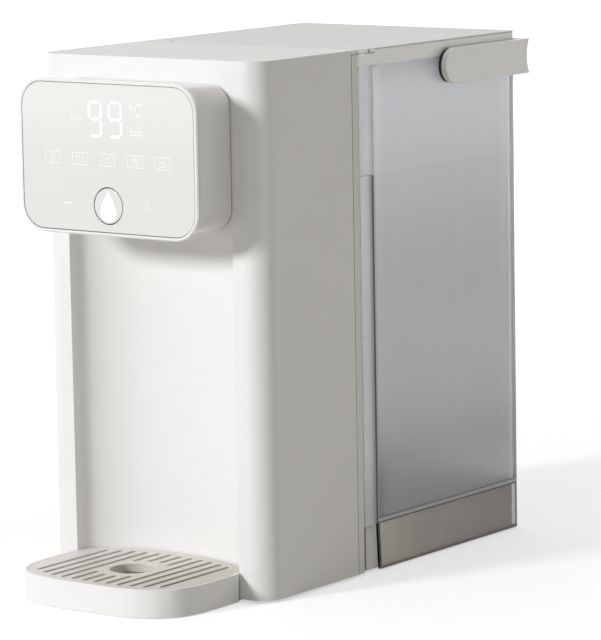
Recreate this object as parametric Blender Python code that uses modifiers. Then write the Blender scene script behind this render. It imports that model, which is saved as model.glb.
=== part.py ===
"""Instant hot water dispenser with a lift-off rear tank. Metres, +Z up, front towards -Y."""

import math

import bmesh
import bpy
from mathutils import Matrix, Vector

# Overall sizes of the main unit
body_height = 0.3000
body_width = 0.1566
shell_depth = 0.0845
housing_depth = 0.0066
wall = 0.0024
edge_round = 0.0007
shell_corner = 0.0138
floor_gap = 0.0015

# Gaps and helper lengths
seat_gap = 0.0003
run_gap = 0.0004
pin_gap = 0.0001
overrun = 0.0020

# Niche under the head
niche_cheek = 0.0200
niche_depth_share = 0.3314
niche_top_lift = -0.0008

# Block behind the main unit that the tank hooks over
block_depth = 0.0152
block_top_drop = 0.0100
passage_side = 0.0183
passage_height = 0.0240

# Plinth under the tank
plinth_height = 0.0274
plinth_corner = 0.0030
plinth_gap = 0.0031

# Water tank
tank_depth = 0.1584
tank_side_inset = 0.0001
tank_wall = 0.0024
tank_front_corner = 0.0015
tank_rear_corner = 0.0030
tank_chamber_corner = 0.0060
tank_floor_gap = 0.0006
tank_floor = 0.0030
tank_skirt_lift = 0.0009
tank_skirt_setback = 0.0136
tank_top_drop = 0.0095

# Collar, hinge strip and lid
collar_top_drop = 0.0031
collar_rim = 0.0038
collar_lip_depth = 0.0014
collar_bar_depth = 0.0205
finger_notch_width = 0.0400
finger_notch_depth = 0.0014
lid_thickness = 0.0028
lid_setback = 0.0099
lid_rib_depth = 0.0030
lid_rib_wall = 0.0016
tongue_width = 0.0080
tongue_count = 3
tongue_pitch_share = 0.7663
hinge_pin_radius = 0.0007

# Bail handle
handle_gap = 0.0025
handle_bar_depth = 0.0060
handle_hollow = 0.0036
handle_arm_gap = 0.0024
handle_arm_thickness = 0.0036
handle_radius = 0.01025
handle_pivot_drop = 0.0153
handle_pivot_setback = 0.0687
handle_inner_corner = 0.0030
handle_edge = 0.0009
handle_pin_radius = 0.0030
handle_pin_head_radius = 0.0042
handle_pin_flange_radius = 0.0055
handle_pin_depth = 0.0023

# Control head
head_depth = 0.0353
head_back_gap = 0.0006
head_side_inset = 0.0157
head_half_height = 0.0430
head_drop = 0.0527
head_corner = 0.0160
head_flare = 0.0043
head_flare_height = 0.0033
head_flare_depth = 0.0080
flare_taper = 0.0005
head_wall = 0.0024
head_side_wall = 0.0074
head_floor_wall = 0.0050
glass_rim = 0.0023
glass_thickness = 0.0020
cable_hole_share = 0.479
cable_hole_height = 0.0280
head_screw_share = 0.639
head_boss_radius = 0.0042
head_boss_length = 0.0100
board_post_radius = 0.0030
board_post_inset = 0.0050

# Dispense button
button_radius = 0.0104
button_gap = 0.0005
button_drop = 0.0262
button_skirt = 0.0012
button_length = 0.0043
button_stem_radius = 0.0020
button_travel = 0.0012
sleeve_gap = 0.0002
sleeve_wall = 0.0009
switch_size = 0.0060

# Display behind the glass
board_thickness = 0.0016
board_side_gap = 0.0106
board_top_gap = 0.0095
board_gap = 0.0057
display_width = 0.0560
display_height = 0.0250
display_centre_x = -0.0020
display_lift = 0.0217
key_bar_inset = 0.0020
key_bar_height = 0.0100
key_bar_drop = 0.0003

# Spout
spout_setback = 0.0139
spout_radius = 0.0080
spout_seat_lift = 0.0022
spout_tip_drop = 0.0004
spout_neck_radius = 0.0040
spout_neck = 0.0070
spout_bore_radius = 0.0025
spout_nut_radius = 0.0060
spout_nut = 0.0025

# Drip tray and grille
tray_overhang = 0.0668
tray_side_overlap = 0.0010
tray_height = 0.0158
tray_lift = 0.0003
tray_niche_gap = 0.0009
tray_front_gap = 0.0009
tray_straight = 0.0200
tray_front_power = 3.2
tray_wall = 0.0016
tray_ledge = 0.0016
tray_floor = 0.0018
tray_edge = 0.0012
shoulder_radius = 0.0015
grille_thickness = 0.0022
slot_pitch_share = 0.13406
slot_width = 0.0030
slot_count = 12
slot_front_margin = 0.0065
slot_side_margin = 0.0115
slot_rear_margin = 0.0100
drain_setback = 0.0215
drain_radius = 0.0139
drain_ring_radius = 0.0194
drain_lip = 0.0005
drain_lip_wall = 0.0020
drain_depth = 0.0050

# Pump
pump_from_side = 0.0423
pump_from_seam = 0.0225
bracket_thickness = 0.0020
bracket_width = 0.0440
bracket_depth = 0.0360
motor_radius = 0.0135
motor_length = 0.0350
pump_width = 0.0380
pump_height = 0.0220
port_radius = 0.0032
port_length = 0.0080

# Heater
heater_from_side = 0.0403
heater_radius = 0.0180
heater_top_drop = 0.0573
heater_bottom_z = 0.0700
cap_radius = 0.0205
cap_height = 0.0120
saddle_width = 0.0300
saddle_height = 0.0500
saddle_wrap = 0.0060
cutout_radius = 0.0080
cutout_thickness = 0.0055
sensor_radius = 0.0030
sensor_length = 0.0110
sensor_offset = 0.0110

# Power board
power_board_width = 0.0640
power_board_height_share = 0.4
power_board_top_drop = 0.0423
standoff_length = 0.0011
standoff_radius = 0.0030
standoff_margin = 0.0050

# Hoses and the ribbon cable
hose_radius = 0.0038
cable_radius = 0.0012

# Tank valve and its socket
valve_y_from_front = 0.1500
valve_flange_radius = 0.0170
valve_flange = 0.0020
valve_neck_radius = 0.0117
valve_neck_depth = 0.0120
valve_bore_radius = 0.0080
valve_seat_radius = 0.0050
valve_seat = 0.0025
valve_travel = 0.0025
plunger_radius = 0.0072
plunger_thickness = 0.0018
plunger_stem_radius = 0.0020
seal_minor_radius = 0.0007
seal_major_radius = 0.0060
valve_spring_radius = 0.0052
valve_spring_length = 0.0134
valve_spring_turns = 5.0
valve_wire_radius = 0.00045
strainer_radius = 0.0150
strainer_wall = 0.0012
strainer_height = 0.0130
strainer_slots = 10
strainer_slot_width = 0.0020
strainer_slot_height = 0.0080
guide_wall = 0.0017
socket_wall = 0.0028
socket_floor = 0.0020
socket_floor_z = 0.0085
socket_flange_radius = 0.0200
socket_flange = 0.0019
socket_port_length = 0.0080
seal_wall = 0.0020
seal_height = 0.0022

# Feet, screws and the mains gland
foot_radius = 0.0065
foot_stub_radius = 0.0026
front_foot_from_side = 0.0163
front_foot_y_from_front = 0.0220
rear_foot_from_side = 0.0152
rear_foot_y_from_rear = 0.0195
screw_radius = 0.0015
screw_head_radius = 0.0030
screw_head = 0.0012
screw_length = 0.0120
screw_from_side = 0.0192
screw_front_y_from_block = 0.0200
screw_rear_y_from_rear = 0.0450
boss_radius = 0.0040
vent_count = 5
vent_pitch = 0.0070
vent_width = 0.0030
vent_length = 0.0300
gland_z = 0.0125
gland_radius = 0.0037
gland_flange_radius = 0.0051
gland_flange = 0.0022
gland_bore_radius = 0.0032

# Places worked out from the sizes above
half_width = body_width / 2
head_centre_z = body_height - head_drop
head_half_width = half_width - head_side_inset
cable_hole_half_width = head_half_width * cable_hole_share
head_screw_x = head_half_width * head_screw_share
niche_half_width = half_width - niche_cheek
niche_depth = shell_depth * niche_depth_share
niche_height = head_centre_z - head_half_height + niche_top_lift
tray_half_width = niche_half_width + tray_side_overlap
slot_pitch = tray_half_width * slot_pitch_share
total_rear = shell_depth + housing_depth + tank_depth + handle_gap + handle_bar_depth
front_y = (tray_overhang - total_rear) / 2
shell_rear_y = front_y + shell_depth
housing_rear_y = shell_rear_y + housing_depth
block_rear_y = housing_rear_y + block_depth
tank_front_y = housing_rear_y + run_gap
tank_rear_y = housing_rear_y + tank_depth
handle_rear_y = tank_rear_y + handle_gap + handle_bar_depth
tank_half_width = half_width - tank_side_inset
tank_inner_half = tank_half_width - tank_wall
block_half_width = tank_inner_half - run_gap
plinth_half_width = tank_inner_half - tank_floor_gap
passage_half_width = half_width - passage_side
front_foot_x = half_width - front_foot_from_side
rear_foot_x = plinth_half_width - rear_foot_from_side
screw_x = plinth_half_width - screw_from_side
tongue_pitch = half_width * tongue_pitch_share
tank_floor_z = plinth_height + tank_floor_gap
tank_top_z = body_height - tank_top_drop
block_top_z = body_height - block_top_drop
collar_top_z = body_height - collar_top_drop
collar_bottom_z = tank_top_z + seat_gap
lid_front_y = tank_front_y + lid_setback
hinge_y = lid_front_y + lid_thickness / 2
hinge_z = body_height - lid_thickness / 2
pivot_y = tank_rear_y - handle_pivot_setback
pivot_z = body_height - handle_pivot_drop
head_front_y = front_y - head_depth
head_back_y = front_y - head_back_gap
glass_back_y = head_front_y + glass_thickness
board_front_y = glass_back_y + board_gap
board_back_y = board_front_y + board_thickness
board_half_width = head_half_width - board_side_gap
board_half_height = head_half_height - board_top_gap
button_centre_z = head_centre_z - button_drop
display_centre_z = head_centre_z + display_lift
key_bar_centre_z = head_centre_z - key_bar_drop
spout_tip_z = head_centre_z - head_half_height - spout_tip_drop
spout_y = head_front_y + spout_setback
drain_y = front_y - drain_setback
tray_top_z = tray_lift + tray_height
base_bottom_z = floor_gap + seat_gap
base_top_z = base_bottom_z + wall
pump_x = pump_from_side - half_width
pump_y = shell_rear_y - pump_from_seam
bracket_top_z = base_top_z + seat_gap + bracket_thickness
motor_top_z = bracket_top_z + seat_gap + motor_length
pump_bottom_z = motor_top_z + seat_gap
pump_port_z = pump_bottom_z + pump_height / 2
heater_x = half_width - heater_from_side
heater_y = pump_y
heater_top_z = head_centre_z - heater_top_drop
valve_y = front_y + valve_y_from_front
block_inner_y = block_rear_y - wall
power_board_x = pump_x
power_board_height = body_height * power_board_height_share
power_board_z = head_centre_z - power_board_top_drop - power_board_height / 2
power_board_back_y = block_inner_y - seat_gap - standoff_length
power_board_front_y = power_board_back_y - board_thickness
plinth_front_y = block_rear_y + plinth_gap
plinth_rear_y = tank_rear_y - tank_wall - tank_floor_gap
deck_z = plinth_height - wall
gland_y = housing_rear_y + gland_flange_radius + seat_gap

ARC_STEPS = 6
RIM_STEPS = 8
ROUND_STEPS = 24
INNER_STEPS = 16
PIN_STEPS = 12
SPRING_STEPS = 8

AXES = {
    "X": Matrix(((0, 0, 1, 0), (1, 0, 0, 0), (0, 1, 0, 0), (0, 0, 0, 1))),
    "Y": Matrix(((1, 0, 0, 0), (0, 0, 1, 0), (0, -1, 0, 0), (0, 0, 0, 1))),
    "Z": Matrix.Identity(4),
}
PLANES = {
    "X": AXES["X"],
    "Y": Matrix(((1, 0, 0, 0), (0, 0, -1, 0), (0, 1, 0, 0), (0, 0, 0, 1))),
    "Z": Matrix.Identity(4),
}

FINISHES = {
    "white_plastic": ((0.86, 0.85, 0.83), 0.38, 0.0, 1.0),
    "glass_panel": ((0.82, 0.83, 0.83), 0.12, 0.0, 1.0),
    "beige_plastic": ((0.60, 0.58, 0.54), 0.42, 0.0, 1.0),
    "clear_plastic": ((0.55, 0.57, 0.60), 0.10, 0.0, 0.45),
    "dark_plastic": ((0.10, 0.10, 0.11), 0.50, 0.0, 1.0),
    "rubber": ((0.05, 0.05, 0.05), 0.80, 0.0, 1.0),
    "silicone": ((0.72, 0.74, 0.74), 0.55, 0.0, 1.0),
    "steel": ((0.62, 0.62, 0.63), 0.28, 1.0, 1.0),
    "circuit_board": ((0.05, 0.22, 0.12), 0.45, 0.0, 1.0),
}


def clear_scene():
    for item in list(bpy.data.objects):
        bpy.data.objects.remove(item, do_unlink=True)


def new_collection(name):
    collection = bpy.data.collections.new(name)
    bpy.context.scene.collection.children.link(collection)
    return collection


def make_material(name):
    colour, roughness, metallic, alpha = FINISHES[name]
    finish = bpy.data.materials.new(name)
    finish.use_nodes = True
    shader = finish.node_tree.nodes["Principled BSDF"]
    shader.inputs["Base Color"].default_value = (*colour, 1.0)
    shader.inputs["Roughness"].default_value = roughness
    shader.inputs["Metallic"].default_value = metallic
    shader.inputs["Alpha"].default_value = alpha
    finish.diffuse_color = (*colour, alpha)
    return finish


def new_object(name, data):
    item = bpy.data.objects.new(name, data)
    cutters.objects.link(item)
    item.hide_render = True
    item.display_type = "WIRE"
    return item


def keep(item, name, finish):
    """Turn a working shape into a named sub-part with its own material."""
    cutters.objects.unlink(item)
    parts.objects.link(item)
    item.name = name
    item.hide_render = False
    item.display_type = "TEXTURED"
    item.data.materials.clear()
    item.data.materials.append(materials[finish])
    item.data.shade_smooth()
    item.data.set_sharp_from_angle(angle=math.radians(30))
    return item


def box(low, high):
    low = Vector(low)
    high = Vector(high)
    shape = bmesh.new()
    bmesh.ops.create_cube(shape, size=1)
    bmesh.ops.scale(shape, vec=high - low, verts=shape.verts)
    mesh = bpy.data.meshes.new("box")
    shape.to_mesh(mesh)
    shape.free()
    item = new_object("box", mesh)
    item.location = (low + high) / 2
    return item


def as_mesh(curve_item):
    """A mesh object in the curve's place, with its caps welded on."""
    bpy.context.view_layer.update()
    depsgraph = bpy.context.evaluated_depsgraph_get()
    mesh = bpy.data.meshes.new_from_object(curve_item.evaluated_get(depsgraph))
    shape = bmesh.new()
    shape.from_mesh(mesh)
    bmesh.ops.remove_doubles(shape, verts=shape.verts, dist=0.000005)
    if curve_item.data.dimensions == "2D":
        caps = [f for f in shape.faces if len({round(v.co.z, 6) for v in f.verts}) == 1]
        inside = [e for e in shape.edges if len(e.link_faces) == 2 and all(f in caps for f in e.link_faces)]
        bmesh.ops.beautify_fill(shape, faces=caps, edges=inside)
    bmesh.ops.recalc_face_normals(shape, faces=shape.faces)
    shape.to_mesh(mesh)
    shape.free()
    item = new_object(curve_item.name, mesh)
    item.matrix_world = curve_item.matrix_world
    bpy.data.objects.remove(curve_item, do_unlink=True)
    return item


def plate(outlines, low, high, axis="Z"):
    """A flat outline, with any holes, given its thickness from low to high along an axis."""
    curve = bpy.data.curves.new("plate", "CURVE")
    curve.dimensions = "2D"
    curve.fill_mode = "BOTH"
    curve.extrude = (high - low) / 2
    for outline in outlines:
        spline = curve.splines.new("POLY")
        spline.points.add(len(outline) - 1)
        for point, (u, v) in zip(spline.points, outline):
            point.co = (u, v, 0, 1)
        spline.use_cyclic_u = True
    item = new_object("plate", curve)
    middle = (low + high) / 2
    offset = {"X": (middle, 0, 0), "Y": (0, middle, 0), "Z": (0, 0, middle)}[axis]
    item.matrix_world = Matrix.Translation(offset) @ PLANES[axis]
    return as_mesh(item)


def turned(profile, centre, axis="Z", closed=False, steps=ROUND_STEPS):
    """A profile of (radius, height) pairs, spun about an axis through centre."""
    mesh = bpy.data.meshes.new("turned")
    points = [(radius, 0, height) for radius, height in profile]
    links = [(n, n + 1) for n in range(len(points) - 1)]
    if closed:
        links.append((len(points) - 1, 0))
    mesh.from_pydata(points, links, [])
    item = new_object("turned", mesh)
    item.matrix_world = Matrix.Translation(centre) @ AXES[axis]
    screw = item.modifiers.new("spin", "SCREW")
    screw.angle = math.tau
    screw.steps = steps
    screw.render_steps = steps
    screw.use_merge_vertices = True
    screw.merge_threshold = 0.00001
    screw.use_smooth_shade = True
    return item


def rod(radius, low, high, centre, axis="Z", steps=ROUND_STEPS, turn=0):
    """A plain round bar from low to high along an axis, on the line through centre."""
    shape = bmesh.new()
    bmesh.ops.create_cone(shape, cap_ends=True, segments=steps, radius1=radius, radius2=radius,
                          depth=high - low)
    mesh = bpy.data.meshes.new("rod")
    shape.to_mesh(mesh)
    shape.free()
    item = new_object("rod", mesh)
    lift = Matrix.Translation((0, 0, (low + high) / 2))
    item.matrix_world = Matrix.Translation(centre) @ AXES[axis] @ lift @ Matrix.Rotation(turn, 4, "Z")
    return item


def bore(radius, low, high, centre, axis="Z", steps=PIN_STEPS):
    """A round cutter, turned by half a facet against the bosses it passes through."""
    return rod(radius, low, high, centre, axis, steps, math.pi / steps)


def ring(inner, outer, low, high, centre, axis="Z", steps=ROUND_STEPS):
    profile = [(inner, high), (outer, high), (outer, low), (inner, low)]
    return turned(profile, centre, axis, closed=True, steps=steps)


def combine(item, other, operation):
    step = item.modifiers.new(operation.lower(), "BOOLEAN")
    step.operation = operation
    step.solver = "EXACT"
    step.object = other
    return item


def cut(item, *others):
    for other in others:
        combine(item, other, "DIFFERENCE")
    return item


def join(item, *others):
    for other in others:
        combine(item, other, "UNION")
    return item


def bevel(item, width, segments=2):
    step = item.modifiers.new("edges", "BEVEL")
    step.width = width
    step.segments = segments
    step.limit_method = "ANGLE"
    step.angle_limit = math.radians(40)
    step.use_clamp_overlap = True
    return item


def arc(centre, radius, start, end, steps=ARC_STEPS):
    """Points on an arc, from a start angle to an end angle in degrees, both included."""
    angles = [math.radians(start + (end - start) * n / steps) for n in range(steps + 1)]
    return [(centre[0] + radius * math.cos(a), centre[1] + radius * math.sin(a)) for a in angles]


def rounded_outline(low, high, low_radius, high_radius, steps=ARC_STEPS):
    """A rectangle whose two corners at low v and two at high v have their own radii."""
    (left, bottom), (right, top) = low, high
    outline = arc((right - low_radius, bottom + low_radius), low_radius, -90, 0, steps)
    outline += arc((right - high_radius, top - high_radius), high_radius, 0, 90, steps)
    outline += arc((left + high_radius, top - high_radius), high_radius, 90, 180, steps)
    outline += arc((left + low_radius, bottom + low_radius), low_radius, 180, 270, steps)
    return outline


def ellipse(half_x, half_y, centre, steps=56):
    angles = [math.tau * n / steps for n in range(steps)]
    return [(centre[0] + half_x * math.cos(a), centre[1] + half_y * math.sin(a)) for a in angles]


def circle(radius, centre, steps=ROUND_STEPS):
    return ellipse(radius, radius, centre, steps)


def stadium(centre_u, low_v, high_v, width):
    """A slot with round ends that runs along v."""
    radius = width / 2
    outline = arc((centre_u, high_v - radius), radius, 0, 180, 3)
    outline += arc((centre_u, low_v + radius), radius, 180, 360, 3)
    return outline


def smooth_route(points, steps=4):
    """A Catmull-Rom curve through the route's own points, straight over its first and last spans."""
    route = [Vector(p) for p in points]
    result = [route[0]]
    for a, b, c, d in zip(route, route[1:], route[2:], route[3:]):
        for n in range(steps):
            t = n / steps
            result.append(0.5 * ((2 * b) + (c - a) * t + (2 * a - 5 * b + 4 * c - d) * t * t
                                 + (3 * b - 3 * c + d - a) * t * t * t))
    return result + route[-2:]


def tube(points, radius, resolution=1):
    """A round tube, with filled ends, along a list of points."""
    curve = bpy.data.curves.new("tube", "CURVE")
    curve.dimensions = "3D"
    curve.bevel_depth = radius
    curve.bevel_resolution = resolution
    curve.use_fill_caps = True
    spline = curve.splines.new("POLY")
    spline.points.add(len(points) - 1)
    for point, place in zip(spline.points, points):
        point.co = (*place, 1)
    return as_mesh(new_object("tube", curve))


def coil(radius, wire, low, high, turns, centre):
    """One upright spring wire whose two ends are drawn flat against their seats."""
    steps = int(turns * SPRING_STEPS)
    lift = high - low - 2 * wire
    places = []
    for n in range(steps + 1):
        share = n / steps
        angle = math.tau * turns * share
        climb = min(max((share - 0.12) / 0.76, 0), 1)
        local = Vector((radius * math.cos(angle), radius * math.sin(angle), low + wire + lift * climb))
        places.append(Vector(centre) + local)
    return tube(places, wire, resolution=0)


def side_pair(place):
    return [(-place[0], *place[1:]), place]


def make_front_shell():
    """Front moulding: rounded corners, flat top, and the concave niche as part of its wall."""
    outline = rounded_outline((-half_width, front_y), (half_width, housing_rear_y), shell_corner, edge_round)
    outer = bevel(plate([outline], floor_gap, body_height), edge_round)
    inner = rounded_outline((-half_width + wall, front_y + wall),
                            (half_width - wall, housing_rear_y + 2 * overrun),
                            shell_corner - wall, edge_round)
    cavity = plate([inner], -overrun, body_height - wall)
    sleeve = ellipse(niche_half_width + wall, niche_depth + wall, (0, front_y))
    cut(cavity, plate([sleeve], -2 * overrun, niche_height + wall))
    niche = plate([ellipse(niche_half_width, niche_depth, (0, front_y))], -overrun, niche_height)
    behind_seam = box((-body_width, shell_rear_y, -overrun),
                      (body_width, housing_rear_y + overrun, body_height - wall))
    hole_low = head_centre_z - cable_hole_height / 2
    window = box((-cable_hole_half_width, front_y - overrun, hole_low),
                 (cable_hole_half_width, front_y + wall + overrun, hole_low + cable_hole_height))
    cut(outer, cavity, niche, behind_seam, window)
    for place in side_pair((head_screw_x, front_y, head_centre_z)):
        cut(outer, bore(screw_radius + seat_gap, -overrun, wall + overrun, place, "Y"))
    return keep(outer, "front_shell", "white_plastic")


def make_rear_housing():
    """Back of the main unit: a shallow rim behind the shell and the block the tank hooks over."""
    top_z = body_height - wall - seat_gap
    rim_y = shell_rear_y + seat_gap
    rim = box((-half_width, rim_y, floor_gap), (half_width, housing_rear_y, top_z))
    block = box((-block_half_width, housing_rear_y - overrun / 2, floor_gap),
                (block_half_width, block_rear_y, block_top_z))
    rim_space = box((-half_width + wall, rim_y - overrun, -overrun),
                    (half_width - wall, housing_rear_y - wall, top_z - wall))
    block_space = box((-block_half_width + wall, rim_y, -overrun),
                      (block_half_width - wall, block_inner_y, block_top_z - wall))
    passage = box((-passage_half_width, block_inner_y - overrun, -overrun),
                  (passage_half_width, block_rear_y + overrun, passage_height))
    gland_hole = bore(gland_radius + seat_gap, -overrun, wall + overrun,
                      (-block_half_width, gland_y, gland_z), "X")
    join(rim, block)
    cut(rim, rim_space, block_space, passage, gland_hole)
    return keep(rim, "rear_housing", "white_plastic")


def make_tank_base():
    """Plinth that the tank's skirt comes down over, with the socket hole in its deck."""
    outline = rounded_outline((-plinth_half_width, plinth_front_y), (plinth_half_width, plinth_rear_y),
                              edge_round, plinth_corner)
    plinth = plate([outline], floor_gap, plinth_height)
    space = box((-plinth_half_width + wall, plinth_front_y + wall, -overrun),
                (plinth_half_width - wall, plinth_rear_y - wall, deck_z))
    passage = box((-passage_half_width, plinth_front_y - overrun, -overrun),
                  (passage_half_width, plinth_front_y + wall + overrun, passage_height - wall))
    socket_hole = rod(valve_neck_radius + socket_wall / 2, deck_z - overrun, plinth_height + overrun,
                      (0, valve_y, 0))
    cut(plinth, space, passage)
    for place in screw_places():
        join(plinth, rod(boss_radius, base_top_z + seat_gap, deck_z + wall / 2, place, steps=PIN_STEPS))
    for place in screw_places():
        cut(plinth, bore(screw_radius + pin_gap, 0, screw_tip_z() + overrun / 2, place))
    cut(plinth, socket_hole)
    return keep(plinth, "tank_base", "white_plastic")


def screw_tip_z():
    return base_bottom_z - seat_gap + screw_length


def screw_places():
    front = plinth_front_y + screw_front_y_from_block
    rear = plinth_rear_y - screw_rear_y_from_rear
    return [(x, y, 0) for y in (front, rear) for x in (-screw_x, screw_x)]


def foot_places():
    front = front_y + front_foot_y_from_front
    rear = tank_rear_y - rear_foot_y_from_rear
    return {
        "front_left_foot": (-front_foot_x, front, 0),
        "front_right_foot": (front_foot_x, front, 0),
        "rear_left_foot": (-rear_foot_x, rear, 0),
        "rear_right_foot": (rear_foot_x, rear, 0),
    }


def make_base_plate():
    """One plate that closes the unit from below, from the front corners to the back of the plinth."""
    shell_half = half_width - wall - seat_gap
    block_half = block_half_width - wall - seat_gap
    tongue_half = passage_half_width - wall
    plinth_half = plinth_half_width - wall - seat_gap
    radius = shell_corner - wall - seat_gap
    front = front_y + wall + seat_gap
    sleeve_half = niche_half_width + wall + seat_gap
    sleeve_depth = niche_depth + wall + seat_gap
    start = math.degrees(math.asin((wall + seat_gap) / sleeve_depth))
    right = []
    for n in range(ROUND_STEPS // 2 + 1):
        angle = math.radians(90 - (90 - start) * n / (ROUND_STEPS // 2))
        right.append((sleeve_half * math.cos(angle), front_y + sleeve_depth * math.sin(angle)))
    right[0] = (0, front_y + sleeve_depth)
    right += arc((shell_half - radius, front + radius), radius, -90, 0)
    right += [
        (shell_half, housing_rear_y - wall - seat_gap),
        (block_half, housing_rear_y - wall - seat_gap),
        (block_half, block_inner_y - seat_gap),
        (tongue_half, block_inner_y - seat_gap),
        (tongue_half, plinth_front_y + wall + seat_gap),
        (plinth_half, plinth_front_y + wall + seat_gap),
        (plinth_half, plinth_rear_y - wall - seat_gap),
    ]
    outline = right + [(-x, y) for x, y in reversed(right[1:])]
    holes = [circle(foot_stub_radius + seat_gap, place[:2], PIN_STEPS) for place in foot_places().values()]
    holes += [circle(screw_radius + seat_gap, place[:2], PIN_STEPS) for place in screw_places()]
    first = -vent_pitch * (vent_count - 1) / 2
    vent_low = pump_y - vent_length / 2
    for n in range(vent_count):
        holes.append(stadium(first + vent_pitch * n, vent_low, vent_low + vent_length, vent_width))
    base = plate([outline] + holes, base_bottom_z, base_top_z)
    return keep(base, "base_plate", "dark_plastic")


def make_feet():
    stub_top = base_top_z - floor_gap / 2
    profile = [(0, stub_top), (foot_stub_radius, stub_top), (foot_stub_radius, floor_gap),
               (foot_radius, floor_gap), (foot_radius, 0), (0, 0)]
    return [keep(turned(profile, place, steps=PIN_STEPS), name, "rubber")
            for name, place in foot_places().items()]


def make_base_screws():
    names = ("front_left_base_screw", "front_right_base_screw",
             "rear_left_base_screw", "rear_right_base_screw")
    top = screw_tip_z()
    head_top = base_bottom_z - seat_gap
    head_low = head_top - screw_head
    profile = [(0, top), (screw_radius, top), (screw_radius, head_top),
               (screw_head_radius, head_top), (screw_head_radius, head_low), (0, head_low)]
    return [keep(turned(profile, place, steps=PIN_STEPS), name, "steel")
            for name, place in zip(names, screw_places())]


def head_ring(inset, drop, radius):
    """Outline of the head, in x and z, drawn in from its front rim at the sides and at top and bottom."""
    half_x = head_half_width - inset
    half_z = head_half_height - drop
    return rounded_outline((-half_x, head_centre_z - half_z), (half_x, head_centre_z + half_z),
                           radius, radius, RIM_STEPS)


def make_head_housing():
    """Control head: a box that flares out to its front rim, open in front for the glass."""
    flare_steps = 5
    sections = [(0, edge_round, edge_round), (edge_round, 0, 0)]
    for n in range(1, flare_steps + 1):
        share = n / flare_steps
        ease = 1 - (1 - share) ** 2
        sections.append((edge_round + (head_flare_depth - edge_round) * share,
                         (head_flare - flare_taper) * ease, (head_flare_height - flare_taper) * ease))
    sections.append((head_depth - head_back_gap, head_flare, head_flare_height))
    shape = bmesh.new()
    rings = []
    for depth, inset, drop in sections:
        outline = head_ring(inset, drop, head_corner - inset)
        rings.append([shape.verts.new((x, head_front_y + depth, z)) for x, z in outline])
    for front_ring, back_ring in zip(rings, rings[1:]):
        for n in range(len(front_ring)):
            shape.faces.new((front_ring[n - 1], front_ring[n], back_ring[n], back_ring[n - 1]))
    shape.faces.new(rings[0])
    shape.faces.new(rings[-1])
    bmesh.ops.remove_doubles(shape, verts=shape.verts, dist=0.000005)
    bmesh.ops.recalc_face_normals(shape, faces=shape.faces)
    mesh = bpy.data.meshes.new("head")
    shape.to_mesh(mesh)
    shape.free()
    head = new_object("head", mesh)

    rim = glass_rim - run_gap
    rebate = plate([head_ring(rim, rim, head_corner - rim)],
                   head_front_y - overrun, glass_back_y + seat_gap, "Y")
    space = plate([head_ring(head_side_wall, head_floor_wall, head_corner - head_side_wall)],
                  head_front_y - overrun, head_back_y - head_wall, "Y")
    cut(head, rebate, space)
    for x, z in board_post_places():
        join(head, rod(board_post_radius, board_back_y + seat_gap, head_back_y - head_wall / 2,
                       (x, 0, z), "Y", PIN_STEPS))
    for place in side_pair((head_screw_x, 0, head_centre_z)):
        join(head, rod(head_boss_radius, head_back_y - head_boss_length, head_back_y - head_wall / 2,
                       place, "Y", PIN_STEPS))
    for place in side_pair((head_screw_x, 0, head_centre_z)):
        cut(head, bore(screw_radius + pin_gap, head_back_y - head_boss_length - overrun,
                       head_back_y + overrun, place, "Y"))
    hole_low = head_centre_z - cable_hole_height / 2
    window = box((-cable_hole_half_width, head_back_y - head_wall - overrun, hole_low),
                 (cable_hole_half_width, head_back_y + overrun, hole_low + cable_hole_height))
    floor_hole = bore(spout_neck_radius + seat_gap, -spout_radius, spout_radius,
                      (0, spout_y, head_floor_z()), steps=ROUND_STEPS)
    cut(head, window, floor_hole)
    return keep(head, "head_housing", "white_plastic")


def board_post_places():
    across = board_half_width - board_post_inset
    up = board_half_height - board_post_inset
    return [(x, head_centre_z + z) for z in (-up, up) for x in (-across, across)]


def head_floor_z():
    """Top of the head's floor, which the spout's flange seats on."""
    return head_centre_z - head_half_height + head_floor_wall


def make_touch_glass():
    hole = circle(button_radius + button_gap, (0, button_centre_z), 32)
    outline = head_ring(glass_rim, glass_rim, head_corner - glass_rim)
    glass = plate([outline, hole], head_front_y, glass_back_y, "Y")
    return keep(glass, "touch_glass", "glass_panel")


def make_display_board():
    outline = rounded_outline((-board_half_width, head_centre_z - board_half_height),
                              (board_half_width, head_centre_z + board_half_height), wall, wall, 4)
    board = plate([outline], board_front_y, board_back_y, "Y")
    keep(board, "display_board", "circuit_board")
    front = board_front_y - seat_gap
    back = glass_back_y + seat_gap
    module = box((display_centre_x - display_width / 2, back, display_centre_z - display_height / 2),
                 (display_centre_x + display_width / 2, front, display_centre_z + display_height / 2))
    keep(bevel(module, edge_round, 1), "display_module", "dark_plastic")
    bar_half = board_half_width - key_bar_inset
    bar = box((-bar_half, back, key_bar_centre_z - key_bar_height / 2),
              (bar_half, front, key_bar_centre_z + key_bar_height / 2))
    keep(bevel(bar, edge_round, 1), "key_light_bar", "silicone")
    switch_back = board_front_y - seat_gap
    switch_front = head_front_y + button_length + button_travel + seat_gap
    switch = box((-switch_size / 2, switch_front, button_centre_z - switch_size / 2),
                 (switch_size / 2, switch_back, button_centre_z + switch_size / 2))
    keep(switch, "button_switch", "dark_plastic")
    sleeve_bore = button_radius + sleeve_gap
    sleeve = ring(sleeve_bore, sleeve_bore + sleeve_wall, back, front, (0, 0, button_centre_z), "Y")
    keep(sleeve, "button_sleeve", "dark_plastic")


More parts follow.
